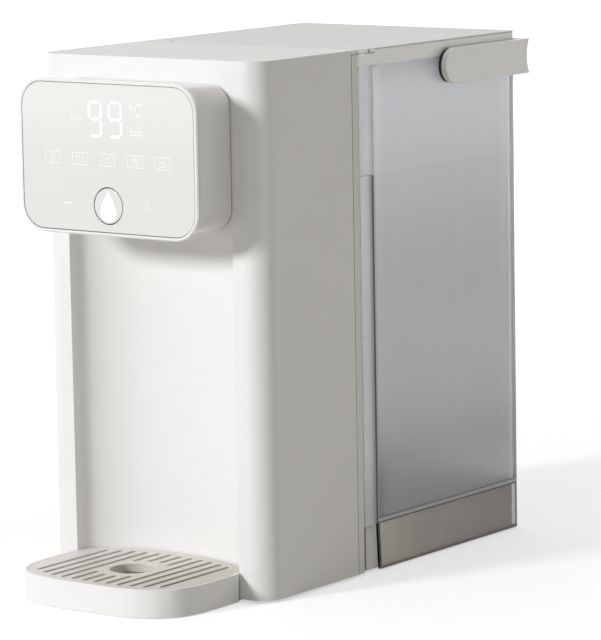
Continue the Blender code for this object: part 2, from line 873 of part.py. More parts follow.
def make_dispense_button():
    """Round push button: a cap with a skirt and a stem. The switch's own dome pushes it back out."""
    back = head_front_y + button_length
    under = head_front_y + glass_thickness
    profile = [
        (0, back), (button_stem_radius, back), (button_stem_radius, under),
        (button_radius - button_skirt, under), (button_radius - button_skirt, back),
        (button_radius, back), (button_radius, head_front_y + edge_round / 2),
        (button_radius - edge_round / 2, head_front_y), (0, head_front_y),
    ]
    button = turned(profile, (0, 0, button_centre_z), "Y", steps=32)
    return keep(button, "dispense_button", "white_plastic")


def spout_top_z():
    return head_floor_z() + seat_gap + spout_neck


def make_spout():
    """Nozzle under the head's floor, its neck held from inside by a nut."""
    seat = head_centre_z - head_half_height + spout_seat_lift
    top = spout_top_z()
    profile = [
        (spout_bore_radius, top), (spout_neck_radius, top), (spout_neck_radius, seat),
        (spout_radius - edge_round, seat), (spout_radius, seat - edge_round),
        (spout_radius, spout_tip_z + edge_round), (spout_radius - edge_round, spout_tip_z),
        (spout_bore_radius, spout_tip_z),
    ]
    keep(turned(profile, (0, spout_y, 0), closed=True, steps=INNER_STEPS), "spout", "steel")
    low = head_floor_z() + seat_gap
    nut = ring(spout_neck_radius + seat_gap, spout_nut_radius, low, low + spout_nut, (0, spout_y, 0),
               steps=PIN_STEPS)
    keep(nut, "spout_nut", "steel")


def make_head_screws():
    names = ("left_head_screw", "right_head_screw")
    head_low = front_y + wall + seat_gap
    head_high = head_low + screw_head + seat_gap
    tip = head_back_y - head_boss_length
    profile = [(0, head_high), (screw_head_radius, head_high), (screw_head_radius, head_low),
               (screw_radius - pin_gap, head_low), (screw_radius - pin_gap, tip), (0, tip)]
    for name, place in zip(names, side_pair((head_screw_x, 0, head_centre_z))):
        keep(turned(profile, place, "Y", steps=PIN_STEPS), name, "steel")


def tray_outline(inset):
    """Tray seen from above: an arc that follows the niche, and a full round front."""
    half_x = niche_half_width - tray_niche_gap - inset
    depth = niche_depth - tray_niche_gap - inset
    side = tray_half_width - inset
    shoulder_y = front_y - tray_front_gap - inset
    front_depth = tray_overhang - tray_straight - inset
    rear_steps = 18
    front_steps = 10
    right = []
    for n in range(rear_steps + 1):
        angle = math.pi / 2 * (1 - n / rear_steps)
        right.append((half_x * math.cos(angle), front_y + depth * math.sin(angle)))
    right.append((half_x, shoulder_y))
    right += arc((side - shoulder_radius, shoulder_y - shoulder_radius), shoulder_radius, 80, 0, 4)
    for n in range(front_steps + 1):
        angle = math.pi / 2 * n / front_steps
        x = side * math.cos(angle) ** (2 / tray_front_power)
        y = front_depth * math.sin(angle) ** (2 / tray_front_power)
        right.append((x, front_y - tray_straight - y))
    right[-1] = (0, front_y - tray_straight - front_depth)
    return right + [(-x, y) for x, y in reversed(right[1:-1])]


def make_drip_tray():
    """Shallow pan with a ledge inside its rim for the grille."""
    tray = bevel(plate([tray_outline(0)], tray_lift, tray_top_z), tray_edge, 1)
    ledge_z = tray_top_z - grille_thickness - seat_gap
    upper = plate([tray_outline(tray_wall)], ledge_z, tray_top_z + overrun)
    lower = plate([tray_outline(tray_wall + tray_ledge)], tray_lift + tray_floor, tray_top_z + overrun)
    cut(tray, upper, lower)
    return keep(tray, "drip_tray", "white_plastic")


def slot_ends(x):
    """Front and rear ends of the slot at x, set in from the tray's own outline."""
    front_half = tray_half_width - slot_side_margin / 2
    front_depth = tray_overhang - tray_straight - slot_front_margin
    reach = (1 - (abs(x) / front_half) ** tray_front_power) ** (1 / tray_front_power)
    low = front_y - tray_straight - front_depth * reach
    rear_half = niche_half_width - slot_side_margin / 2
    rear_depth = niche_depth - slot_rear_margin
    high = front_y + rear_depth * math.sqrt(1 - (x / rear_half) ** 2)
    return low, high


def make_drip_grille():
    """Slotted plate that drops into the tray, with a plain ring round its drain hole."""
    low_z = tray_top_z - grille_thickness
    outlines = [tray_outline(tray_wall + seat_gap)]
    outlines.append(circle(drain_radius + drain_lip, (0, drain_y), 40))
    first = -slot_pitch * (slot_count - 1) / 2
    for n in range(slot_count):
        x = first + slot_pitch * n
        low, high = slot_ends(x)
        if abs(x) < drain_ring_radius - slot_width:
            half_chord = math.sqrt(drain_ring_radius ** 2 - x ** 2)
            outlines.append(stadium(x, low, drain_y - half_chord, slot_width))
            outlines.append(stadium(x, drain_y + half_chord, high, slot_width))
        else:
            outlines.append(stadium(x, low, high, slot_width))
    grille = plate(outlines, low_z, tray_top_z)
    lip_top = tray_top_z - drain_lip / 2
    join(grille, ring(drain_radius, drain_radius + drain_lip_wall, tray_top_z - drain_depth, lip_top,
                      (0, drain_y, 0), steps=40))
    return keep(grille, "drip_grille", "white_plastic")


def make_pump():
    """Pump in three pieces: its bracket on the base plate, the motor, and the pump head above."""
    bracket_z = base_top_z + seat_gap
    bracket = box((pump_x - bracket_width / 2, pump_y - bracket_depth / 2, bracket_z),
                  (pump_x + bracket_width / 2, pump_y + bracket_depth / 2, bracket_top_z))
    back = box((pump_x - bracket_width / 2, pump_y + bracket_depth / 2 - bracket_thickness, bracket_z),
               (pump_x + bracket_width / 2, pump_y + bracket_depth / 2, bracket_top_z + motor_length / 2))
    keep(join(bracket, back), "pump_bracket", "steel")
    profile = [
        (0, motor_top_z), (motor_radius - edge_round, motor_top_z),
        (motor_radius, motor_top_z - edge_round), (motor_radius, bracket_top_z + seat_gap + edge_round),
        (motor_radius - edge_round, bracket_top_z + seat_gap), (0, bracket_top_z + seat_gap),
    ]
    keep(turned(profile, (pump_x, pump_y, 0), steps=INNER_STEPS), "pump_motor", "steel")
    half = pump_width / 2
    head = box((pump_x - half, pump_y - half, pump_bottom_z),
               (pump_x + half, pump_y + half, pump_bottom_z + pump_height))
    bevel(head, wall, 2)
    ports = rod(port_radius, -half - port_length, half + port_length, (pump_x, pump_y, pump_port_z), "X",
                PIN_STEPS)
    keep(join(head, ports), "pump_head", "dark_plastic")


def make_heater():
    """Instant heater: a steel tube between two moulded caps, held by a saddle on the housing."""
    centre = (heater_x, heater_y, 0)
    keep(rod(heater_radius, heater_bottom_z, heater_top_z, centre), "heater_tube", "steel")
    low = heater_bottom_z - seat_gap
    lower_profile = [
        (0, low), (cap_radius - edge_round, low), (cap_radius, low - edge_round),
        (cap_radius, low - cap_height), (port_radius, low - cap_height),
        (port_radius, low - cap_height - port_length), (0, low - cap_height - port_length),
    ]
    keep(turned(lower_profile, centre, steps=INNER_STEPS), "heater_lower_cap", "dark_plastic")
    high = heater_top_z + seat_gap
    upper_profile = [
        (0, high + cap_height + port_length), (port_radius, high + cap_height + port_length),
        (port_radius, high + cap_height), (cap_radius, high + cap_height),
        (cap_radius, high + edge_round), (cap_radius - edge_round, high), (0, high),
    ]
    keep(turned(upper_profile, centre, steps=INNER_STEPS), "heater_upper_cap", "dark_plastic")
    middle = (heater_bottom_z + heater_top_z) / 2
    saddle = box((heater_x - saddle_width / 2, heater_y + heater_radius - saddle_wrap, middle - saddle_height / 2),
                 (heater_x + saddle_width / 2, block_inner_y - seat_gap, middle + saddle_height / 2))
    cut(saddle, rod(heater_radius + seat_gap, 0, body_height, centre))
    keep(saddle, "heater_bracket", "dark_plastic")
    cutout = rod(cutout_radius, -heater_radius - seat_gap - cutout_thickness, -heater_radius - seat_gap,
                 (heater_x, heater_y, middle), "X", PIN_STEPS)
    keep(cutout, "thermal_cutout", "steel")
    sensor_z = high + cap_height + seat_gap
    sensor = rod(sensor_radius, sensor_z, sensor_z + sensor_length,
                 (heater_x + sensor_offset, heater_y, 0), steps=PIN_STEPS)
    keep(sensor, "temperature_sensor", "steel")


def make_power_board():
    """Power board on four standoffs, with its tallest components."""
    low_x = power_board_x - power_board_width / 2
    high_x = power_board_x + power_board_width / 2
    low_z = power_board_z - power_board_height / 2
    high_z = power_board_z + power_board_height / 2
    board = box((low_x, power_board_front_y, low_z), (high_x, power_board_back_y, high_z))
    for x in (low_x + standoff_margin, high_x - standoff_margin):
        for z in (low_z + standoff_margin, high_z - standoff_margin):
            join(board, rod(standoff_radius, power_board_back_y - board_thickness / 2,
                            power_board_back_y + standoff_length, (x, 0, z), "Y", PIN_STEPS))
    seat = power_board_front_y + board_thickness / 2
    column_x = (low_x + power_board_width / 4, high_x - power_board_width / 4)
    row = power_board_height / 4
    capacitor_radius = row / 4
    block_half = row / 3
    block_height = row / 2
    join(board, rod(capacitor_radius, seat - row * 0.7, seat, (column_x[0], 0, power_board_z + row), "Y",
                    PIN_STEPS))
    for x, z in ((column_x[1], power_board_z + row), (column_x[0], power_board_z),
                 (column_x[1], power_board_z - row)):
        join(board, box((x - block_half, seat - block_height, z - block_half),
                        (x + block_half, seat, z + block_half)))
    keep(board, "power_board", "circuit_board")


def make_hoses():
    """The water's way: socket to pump, pump to heater, heater to spout."""
    socket_x = 0
    socket_port_y = valve_y - socket_outer_radius() - socket_port_length - seat_gap
    inlet_x = pump_x - pump_width / 2 - port_length - seat_gap
    inlet_bend = half_width - wall - 2 * hose_radius
    low_z = socket_port_z()
    inlet = [
        (socket_x, socket_port_y, low_z),
        (socket_x, socket_port_y - 2 * hose_radius, low_z),
        (socket_x - 2 * hose_radius, plinth_front_y, low_z),
        (socket_x - 6 * hose_radius, block_inner_y - 3 * hose_radius, low_z),
        (pump_x - bracket_width / 2, pump_y + bracket_depth / 2 + 2.2 * hose_radius, low_z + hose_radius),
        (-inlet_bend, pump_y + bracket_depth / 2, (low_z + pump_port_z) / 2),
        (-inlet_bend - hose_radius / 2, pump_y + hose_radius, pump_port_z - 2 * hose_radius),
        (inlet_x - hose_radius, pump_y, pump_port_z),
        (inlet_x, pump_y, pump_port_z),
    ]
    keep(tube(smooth_route(inlet), hose_radius), "inlet_hose", "silicone")
    outlet_x = pump_x + pump_width / 2 + port_length + seat_gap
    lower_port_z = heater_bottom_z - cap_height - port_length - 2 * seat_gap
    dip = lower_port_z - 4 * hose_radius
    transfer = [
        (outlet_x, pump_y, pump_port_z),
        (outlet_x + 1.5 * hose_radius, pump_y, pump_port_z),
        ((outlet_x + heater_x) / 2, pump_y, (pump_port_z + dip) / 2),
        (heater_x - 2 * hose_radius, pump_y, dip),
        (heater_x, pump_y, dip + 2.5 * hose_radius),
        (heater_x, heater_y, lower_port_z),
    ]
    keep(tube(smooth_route(transfer), hose_radius), "transfer_hose", "silicone")
    upper_port_z = heater_top_z + cap_height + port_length + 2 * seat_gap
    hose_end_z = spout_top_z() + seat_gap
    outlet = [
        (heater_x, heater_y, upper_port_z),
        (heater_x, heater_y, upper_port_z + 3 * hose_radius),
        (heater_x * 0.8, heater_y - 4 * hose_radius, head_centre_z),
        (heater_x * 0.4, front_y + 6 * hose_radius, head_centre_z + hose_radius),
        (heater_x * 0.15, front_y, head_centre_z),
        (0, spout_y + 2 * hose_radius, head_centre_z - hose_radius),
        (0, spout_y, hose_end_z + 3 * hose_radius),
        (0, spout_y, hose_end_z),
    ]
    keep(tube(smooth_route(outlet), hose_radius), "outlet_hose", "silicone")
    cable_x = power_board_x / 2
    cable_high = head_centre_z + cable_hole_height / 4
    board_top = power_board_z + power_board_height / 2 + seat_gap + cable_radius
    cable = [
        (cable_x, board_back_y + seat_gap, cable_high),
        (cable_x, front_y, cable_high),
        (power_board_x * 0.7, front_y + shell_depth / 2, cable_high),
        (power_board_x, power_board_front_y - 4 * cable_radius, board_top + 8 * cable_radius),
        (power_board_x, power_board_front_y, board_top),
    ]
    keep(tube(smooth_route(cable), cable_radius), "display_cable", "rubber")


def make_mains_gland():
    """Bush for the mains lead, in the left side of the block below the tank."""
    outside = -block_half_width - seat_gap
    inside = -block_half_width + wall + seat_gap
    centre = (0, gland_y, gland_z)
    profile = [
        (gland_bore_radius, inside + gland_flange / 2), (gland_radius, inside + gland_flange / 2),
        (gland_radius, outside), (gland_flange_radius, outside),
        (gland_flange_radius, outside - gland_flange), (gland_bore_radius, outside - gland_flange),
    ]
    return keep(turned(profile, centre, "X", closed=True, steps=PIN_STEPS), "mains_gland", "rubber")


def make_tank_body():
    """Clear moulding: a water chamber, side flanges that wrap the block, and a skirt round the plinth."""
    outline = rounded_outline((-tank_half_width, tank_front_y), (tank_half_width, tank_rear_y),
                              tank_front_corner, tank_rear_corner)
    body = plate([outline], tank_skirt_lift, tank_top_z)
    front_wall_y = block_rear_y + run_gap
    floor_top = tank_floor_z + tank_floor
    chamber_outline = rounded_outline((-tank_inner_half, front_wall_y + tank_wall),
                                      (tank_inner_half, tank_rear_y - tank_wall),
                                      tank_chamber_corner, tank_chamber_corner)
    chamber = plate([chamber_outline], floor_top, tank_top_z + overrun)
    hook_space = box((-tank_inner_half, tank_front_y - overrun, -overrun),
                     (tank_inner_half, front_wall_y, tank_top_z + overrun))
    skirt_space = box((-tank_inner_half, tank_front_y, -overrun),
                      (tank_inner_half, tank_rear_y - tank_wall, tank_floor_z))
    skirt_front = box((-body_width, tank_front_y - overrun, -overrun),
                      (body_width, tank_front_y + tank_skirt_setback, tank_floor_z))
    valve_hole = rod(valve_neck_radius + seat_gap, 0, floor_top + overrun, (0, valve_y, 0))
    cut(body, chamber, hook_space, skirt_space, skirt_front, valve_hole)
    for side in (-1, 1):
        cut(body, bore(handle_pin_radius + seat_gap, -tank_wall - overrun, tank_wall + overrun,
                       (side * tank_half_width, pivot_y, pivot_z), "X"))
    return keep(body, "tank_body", "clear_plastic")


def mouth_outline(inset):
    """Inside edge of the collar, which the lid's rib drops into."""
    front = tank_front_y + collar_bar_depth + inset
    return rounded_outline((-tank_half_width + collar_rim + inset, front),
                           (tank_half_width - collar_rim - inset, tank_rear_y - collar_rim - inset),
                           tank_chamber_corner, tank_chamber_corner, 4)


def make_tank_collar():
    """Ring round the tank's mouth, with a lip inside the tank and a finger notch at the back."""
    outline = rounded_outline((-tank_half_width, tank_front_y), (tank_half_width, tank_rear_y),
                              tank_front_corner, tank_rear_corner)
    collar = plate([outline], collar_bottom_z, collar_top_z)
    lip_outline = rounded_outline(
        (-tank_inner_half + run_gap, block_rear_y + run_gap + tank_wall + run_gap),
        (tank_inner_half - run_gap, tank_rear_y - tank_wall - run_gap),
        tank_chamber_corner, tank_chamber_corner)
    lip = plate([lip_outline], collar_bottom_z - seat_gap - collar_lip_depth, collar_bottom_z + overrun / 2)
    mouth = plate([mouth_outline(0)], tank_top_z - 2 * overrun, body_height)
    notch = box((-finger_notch_width / 2, tank_rear_y - finger_notch_depth, collar_top_z - finger_notch_depth),
                (finger_notch_width / 2, tank_rear_y + overrun, collar_top_z + overrun))
    join(collar, lip)
    cut(collar, mouth, notch)
    return keep(collar, "tank_collar", "beige_plastic")


def tongue_centres():
    first = -tongue_pitch * (tongue_count - 1) / 2
    return [first + tongue_pitch * n for n in range(tongue_count)]


def make_hinge_strip():
    """Fixed strip in front of the lid, whose tongues reach round the hinge pin."""
    low_z = collar_top_z + seat_gap
    outline = rounded_outline((-tank_half_width, tank_front_y), (tank_half_width, lid_front_y - seat_gap),
                              tank_front_corner, edge_round / 2, 3)
    strip = plate([outline], low_z, body_height)
    tongue_radius = lid_thickness / 2 - pin_gap
    for x in tongue_centres():
        half = tongue_width / 2
        arm = box((x - half, lid_front_y - seat_gap - overrun, hinge_z - tongue_radius),
                  (x + half, hinge_y, hinge_z + tongue_radius * 0.97))
        join(strip, arm, rod(tongue_radius * 0.99, -half * 0.99, half * 0.99, (x, hinge_y, hinge_z), "X",
                             PIN_STEPS))
    cut(strip, bore(hinge_pin_radius + pin_gap, -body_width, body_width, (0, hinge_y, hinge_z), "X", 8))
    keep(strip, "hinge_strip", "white_plastic")
    pin = rod(hinge_pin_radius, -tank_half_width, tank_half_width, (0, hinge_y, hinge_z), "X", 8,
              math.pi / 8)
    keep(pin, "lid_hinge_pin", "steel")


def make_tank_lid():
    """Flat lid whose rounded front edge turns on the hinge pin, with a locating rib below."""
    low_z = body_height - lid_thickness
    radius = lid_thickness / 2
    outline = rounded_outline((-tank_half_width, hinge_y), (tank_half_width, tank_rear_y),
                              edge_round / 2, tank_rear_corner, 4)
    lid = plate([outline], low_z, body_height)
    edge = rod(radius, -tank_half_width, tank_half_width, (0, hinge_y, hinge_z), "X")
    join(lid, edge)
    rib_inset = run_gap
    rib = plate([mouth_outline(rib_inset), mouth_outline(rib_inset + lid_rib_wall)],
                low_z - lid_rib_depth, low_z + radius / 2)
    join(lid, rib)
    reach = radius + 2 * seat_gap
    for x in tongue_centres():
        half = tongue_width / 2 + seat_gap
        cut(lid, box((x - half, hinge_y - radius - overrun, low_z - overrun),
                     (x + half, hinge_y + reach, body_height + overrun)))
    cut(lid, bore(hinge_pin_radius + pin_gap, -body_width, body_width, (0, hinge_y, hinge_z), "X", 8))
    return keep(lid, "tank_lid", "white_plastic")


def make_tank_handle():
    """Bail: two arms with round ends and a cross bar with a hollow back for the fingers."""
    outer_half = tank_half_width + handle_arm_gap + handle_arm_thickness
    inner_half = outer_half - handle_arm_thickness
    sag = handle_hollow
    hollow_radius = (handle_radius ** 2 + sag ** 2) / (2 * sag)
    hollow_centre = (handle_rear_y - sag + hollow_radius, pivot_z)
    sweep = math.degrees(math.asin(handle_radius / hollow_radius))
    side = arc((pivot_y, pivot_z), handle_radius, 90, 270, 14)
    side += arc(hollow_centre, hollow_radius, 180 + sweep, 180 - sweep, 6)
    bail = plate([side], -outer_half, outer_half, "X")
    inner_plan = rounded_outline((-inner_half, pivot_y - 2 * handle_radius),
                                 (inner_half, tank_rear_y + handle_gap), edge_round, handle_inner_corner)
    cut(bail, plate([inner_plan], pivot_z - 2 * handle_radius, pivot_z + 2 * handle_radius))
    bevel(bail, handle_edge, 2)
    for side in (-1, 1):
        depth = handle_pin_depth + seat_gap
        low = inner_half - overrun if side > 0 else -inner_half - depth
        high = inner_half + depth if side > 0 else -inner_half + overrun
        cut(bail, bore(handle_pin_radius + seat_gap, low, high, (0, pivot_y, pivot_z), "X"))
    return keep(bail, "tank_handle", "beige_plastic")


def make_handle_pins():
    """Stepped pins: a head inside the tank, a collar between tank and arm, and the arm's journal."""
    arm_x = tank_half_width + handle_arm_gap
    stations = [
        (0, tank_inner_half - seat_gap - overrun / 2),
        (handle_pin_head_radius, tank_inner_half - seat_gap - overrun / 2),
        (handle_pin_head_radius, tank_inner_half - seat_gap),
        (handle_pin_radius, tank_inner_half - seat_gap),
        (handle_pin_radius, tank_half_width + seat_gap),
        (handle_pin_flange_radius, tank_half_width + seat_gap),
        (handle_pin_flange_radius, arm_x - seat_gap),
        (handle_pin_radius, arm_x - seat_gap),
        (handle_pin_radius, arm_x + handle_pin_depth),
        (0, arm_x + handle_pin_depth),
    ]
    right = turned(list(reversed(stations)), (0, pivot_y, pivot_z), "X", steps=PIN_STEPS)
    keep(right, "right_handle_pin", "beige_plastic")
    left = turned([(r, -x) for r, x in stations], (0, pivot_y, pivot_z), "X", steps=PIN_STEPS)
    keep(left, "left_handle_pin", "beige_plastic")


def valve_bottom_z():
    return tank_floor_z - valve_neck_depth


def make_tank_valve():
    """Valve in the tank's floor: body, plunger held open by the socket's pin, seal, spring, strainer."""
    centre = (0, valve_y, 0)
    floor_top = tank_floor_z + tank_floor
    flange_low = floor_top + seat_gap
    flange_high = flange_low + valve_flange
    bottom = valve_bottom_z()
    seat = bottom + valve_seat
    body = [
        (valve_bore_radius, flange_high), (valve_flange_radius, flange_high),
        (valve_flange_radius, flange_low), (valve_neck_radius, flange_low),
        (valve_neck_radius, bottom), (valve_seat_radius, bottom),
        (valve_seat_radius, seat), (valve_bore_radius, seat),
    ]
    keep(turned(body, centre, closed=True, steps=INNER_STEPS), "tank_valve_body", "beige_plastic")

    seal_z = seat + seat_gap + valve_travel + seal_minor_radius
    disc_low = seal_z + seal_minor_radius + seat_gap
    disc_high = disc_low + plunger_thickness
    spring_low = disc_high + seat_gap
    spring_high = spring_low + valve_spring_length
    stem_top = spring_high + strainer_height / 4
    stem_bottom = bottom + seat_gap
    plunger = [
        (0, stem_top), (plunger_stem_radius, stem_top), (plunger_stem_radius, disc_high),
        (plunger_radius, disc_high), (plunger_radius, disc_low), (plunger_stem_radius, disc_low),
        (plunger_stem_radius, stem_bottom), (0, stem_bottom),
    ]
    keep(turned(plunger, centre, steps=INNER_STEPS), "valve_plunger", "beige_plastic")
    seal = [(seal_major_radius + x, z) for x, z in reversed(circle(seal_minor_radius, (0, seal_z), 6))]
    keep(turned(seal, centre, closed=True, steps=INNER_STEPS), "valve_seal", "rubber")
    spring = coil(valve_spring_radius, valve_wire_radius, spring_low, spring_high, valve_spring_turns, centre)
    keep(spring, "valve_spring", "steel")

    foot = flange_high + seat_gap
    top = foot + strainer_height
    guide_bottom = spring_high + seat_gap
    guide_bore = plunger_stem_radius + seat_gap
    cup = [
        (guide_bore, top), (strainer_radius - edge_round, top), (strainer_radius, top - edge_round),
        (strainer_radius, foot), (strainer_radius - strainer_wall, foot),
        (strainer_radius - strainer_wall, top - strainer_wall),
        (guide_bore + guide_wall, top - strainer_wall), (guide_bore + guide_wall, guide_bottom),
        (guide_bore, guide_bottom),
    ]
    strainer = turned(cup, centre, closed=True, steps=INNER_STEPS)
    slot_low = foot + (strainer_height - strainer_slot_height) / 2 - strainer_wall / 2
    for n in range(strainer_slots // 2):
        slot = box((-strainer_slot_width / 2, -strainer_radius - overrun, slot_low),
                   (strainer_slot_width / 2, strainer_radius + overrun, slot_low + strainer_slot_height))
        core = rod(strainer_radius - strainer_wall - overrun / 4, slot_low - overrun,
                   slot_low + strainer_slot_height + overrun, (0, 0, 0), steps=INNER_STEPS)
        turn = Matrix.Rotation(math.tau * n / strainer_slots, 4, "Z")
        slot.matrix_world = Matrix.Translation(centre) @ turn @ Matrix.Translation(slot.location)
        core.matrix_world = Matrix.Translation(centre)
        cut(slot, core)
        cut(strainer, slot)
    keep(strainer, "tank_strainer", "beige_plastic")


def socket_outer_radius():
    return valve_neck_radius + seat_gap + seal_wall + socket_wall


def socket_port_z():
    return socket_floor_z + socket_floor + hose_radius


def make_valve_socket():
    """Cup under the plinth's deck that takes the tank's neck, with its pin, seal and side port."""
    outer = socket_outer_radius()
    inner = valve_neck_radius + 2 * seat_gap
    pocket = outer - socket_wall + seat_gap
    top = deck_z - seat_gap
    floor_z = socket_floor_z + socket_floor
    pin_top = valve_bottom_z()
    seal_low = top - seal_height - seat_gap
    profile = [
        (0, pin_top), (plunger_stem_radius, pin_top), (plunger_stem_radius, floor_z),
        (inner, floor_z), (inner, seal_low), (pocket, seal_low), (pocket, top),
        (socket_flange_radius, top), (socket_flange_radius, top - socket_flange),
        (outer, top - socket_flange), (outer, socket_floor_z), (0, socket_floor_z),
    ]
    socket = turned(profile, (0, valve_y, 0), steps=INNER_STEPS)
    port_z = socket_port_z()
    port_end = valve_y - outer - socket_port_length
    join(socket, rod(port_radius, port_end, valve_y - inner - socket_wall / 2, (0, 0, port_z), "Y", PIN_STEPS))
    cut(socket, rod(port_radius / 2, port_end - overrun, valve_y - inner / 2, (0, 0, port_z), "Y", PIN_STEPS))
    keep(socket, "valve_socket", "dark_plastic")
    seal = ring(valve_neck_radius + seat_gap, pocket - seat_gap, seal_low + seat_gap, top,
                (0, valve_y, 0), steps=INNER_STEPS)
    keep(seal, "socket_seal", "rubber")


def carry(name, place, *members):
    """An empty on a joint's axis that carries the pieces of one moving body."""
    empty = bpy.data.objects.new(name, None)
    parts.objects.link(empty)
    empty.location = place
    bpy.context.view_layer.update()
    for member in members:
        item = bpy.data.objects[member]
        item.parent = empty
        item.matrix_parent_inverse = empty.matrix_world.inverted()
    return empty


def carry_moving_pieces():
    carry("button_slide", (0, head_front_y, button_centre_z), "dispense_button")
    tray = carry("tray_slide", (0, front_y, tray_lift), "drip_tray")
    grille = carry("grille_lift", (0, drain_y, tray_top_z), "drip_grille")
    tank = carry("tank_lift", (0, valve_y, tank_floor_z), "tank_body", "tank_collar", "hinge_strip",
                 "lid_hinge_pin", "left_handle_pin", "right_handle_pin", "tank_valve_body",
                 "valve_spring", "tank_strainer")
    lid = carry("lid_hinge", (0, hinge_y, hinge_z), "tank_lid")
    handle = carry("handle_pivot", (0, pivot_y, pivot_z), "tank_handle")
    plunger = carry("plunger_slide", (0, valve_y, valve_bottom_z()), "valve_plunger", "valve_seal")
    for child, parent in ((grille, tray), (lid, tank), (handle, tank), (plunger, tank)):
        bpy.context.view_layer.update()
        child.parent = parent
        child.matrix_parent_inverse = parent.matrix_world.inverted()


clear_scene()
parts = new_collection("Instant hot water dispenser")
cutters = new_collection("Cutters")
materials = {name: make_material(name) for name in FINISHES}

make_front_shell()
make_rear_housing()
make_tank_base()
make_base_plate()
make_feet()
make_base_screws()
make_head_housing()
make_touch_glass()
make_display_board()
make_dispense_button()
make_spout()
make_head_screws()
make_drip_tray()
make_drip_grille()
make_pump()
make_heater()
make_power_board()
make_hoses()
make_mains_gland()
make_tank_body()
make_tank_collar()
make_hinge_strip()
make_tank_lid()
make_tank_handle()
make_handle_pins()
make_tank_valve()
make_valve_socket()
carry_moving_pieces()
bpy.context.view_layer.update()
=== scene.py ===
"""Looks of the instant hot water dispenser: materials, studio, camera and the fine pieces on the CAD."""

import math

import bmesh
import bpy
from mathutils import Matrix, Vector


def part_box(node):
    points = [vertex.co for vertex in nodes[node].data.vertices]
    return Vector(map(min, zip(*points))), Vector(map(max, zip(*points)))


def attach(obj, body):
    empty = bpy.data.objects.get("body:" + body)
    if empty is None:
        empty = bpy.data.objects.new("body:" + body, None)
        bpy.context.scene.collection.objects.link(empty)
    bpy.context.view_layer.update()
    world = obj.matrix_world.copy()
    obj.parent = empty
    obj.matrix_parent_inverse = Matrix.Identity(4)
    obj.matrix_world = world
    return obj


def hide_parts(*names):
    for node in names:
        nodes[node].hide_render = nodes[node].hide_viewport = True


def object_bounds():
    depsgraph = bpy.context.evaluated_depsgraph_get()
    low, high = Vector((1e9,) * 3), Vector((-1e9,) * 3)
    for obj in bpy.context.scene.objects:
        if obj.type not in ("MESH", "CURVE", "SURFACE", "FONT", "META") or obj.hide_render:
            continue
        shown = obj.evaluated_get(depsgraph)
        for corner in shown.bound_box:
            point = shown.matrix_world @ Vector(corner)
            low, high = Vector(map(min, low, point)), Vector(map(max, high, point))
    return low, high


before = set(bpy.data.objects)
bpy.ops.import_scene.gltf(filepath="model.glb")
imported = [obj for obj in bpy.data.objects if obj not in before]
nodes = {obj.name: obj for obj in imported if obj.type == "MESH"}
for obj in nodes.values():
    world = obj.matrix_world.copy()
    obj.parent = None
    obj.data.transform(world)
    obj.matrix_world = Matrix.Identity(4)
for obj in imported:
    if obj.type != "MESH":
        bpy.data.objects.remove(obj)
cad_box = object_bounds()

scene = bpy.context.scene

# Lengths are in metres. These are read from the frame, where a piece has to meet it
glass_low, glass_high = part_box("touch_glass")
button_low, button_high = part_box("dispense_button")
tray_low, tray_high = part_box("drip_tray")
tank_low, tank_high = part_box("tank_body")
plinth_low, plinth_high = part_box("tank_base")
block_low, block_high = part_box("rear_housing")
collar_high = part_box("tank_collar")[1]
lid_low, lid_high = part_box("tank_lid")
head_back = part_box("head_housing")[1].y
handle_low, handle_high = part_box("tank_handle")
pin_low, pin_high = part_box("left_handle_pin")
body_top = cad_box[1][2]

# The height at which the photograph shows the tank's wall and flange change
tone_step_line = 0.2285


# Node helpers

def add(tree, kind, **inputs):
    """A node of that kind with its inputs set by name; spaces are written as underscores."""
    n = tree.nodes.new(kind)
    for key, value in inputs.items():
        n.inputs[key.replace("_", " ")].default_value = value
    return n


def start(name):
    m = bpy.data.materials.new(name)
    m.use_nodes = True
    tree = m.node_tree
    tree.nodes.clear()
    out = tree.nodes.new("ShaderNodeOutputMaterial")
    bsdf = tree.nodes.new("ShaderNodeBsdfPrincipled")
    tree.links.new(bsdf.outputs["BSDF"], out.inputs["Surface"])
    return m, tree, bsdf


def place(tree, stretch=(1.0, 1.0, 1.0)):
    """Object coordinates in metres, scaled by stretch."""
    coords = tree.nodes.new("ShaderNodeTexCoord")
    mapping = tree.nodes.new("ShaderNodeMapping")
    mapping.inputs["Scale"].default_value = stretch
    tree.links.new(coords.outputs["Object"], mapping.inputs["Vector"])
    return mapping.outputs["Vector"]


def noise(tree, scale, detail=3.0, roughness=0.5, stretch=(1.0, 1.0, 1.0)):
    n = add(tree, "ShaderNodeTexNoise", Scale=scale, Detail=detail, Roughness=roughness)
    tree.links.new(place(tree, stretch), n.inputs["Vector"])
    return n.outputs["Fac"]


def spread(tree, value, low_in, high_in, low_out, high_out, smooth=False):
    n = tree.nodes.new("ShaderNodeMapRange")
    n.interpolation_type = "SMOOTHSTEP" if smooth else "LINEAR"
    for key, v in (("From Min", low_in), ("From Max", high_in), ("To Min", low_out), ("To Max", high_out)):
        n.inputs[key].default_value = v
    tree.links.new(value, n.inputs["Value"])
    return n.outputs["Result"]


def blended(tree, factor, first, second, kind="MIX"):
    """Mix of two colours, each a triple or a socket."""
    n = tree.nodes.new("ShaderNodeMix")
    n.data_type = "RGBA"
    n.blend_type = kind
    for value, socket in ((factor, n.inputs[0]), (first, n.inputs[6]), (second, n.inputs[7])):
        if isinstance(value, bpy.types.NodeSocket):
            tree.links.new(value, socket)
        elif isinstance(value, (int, float)):
            socket.default_value = value
        else:
            socket.default_value = (*value, 1.0)
    return n.outputs[2]


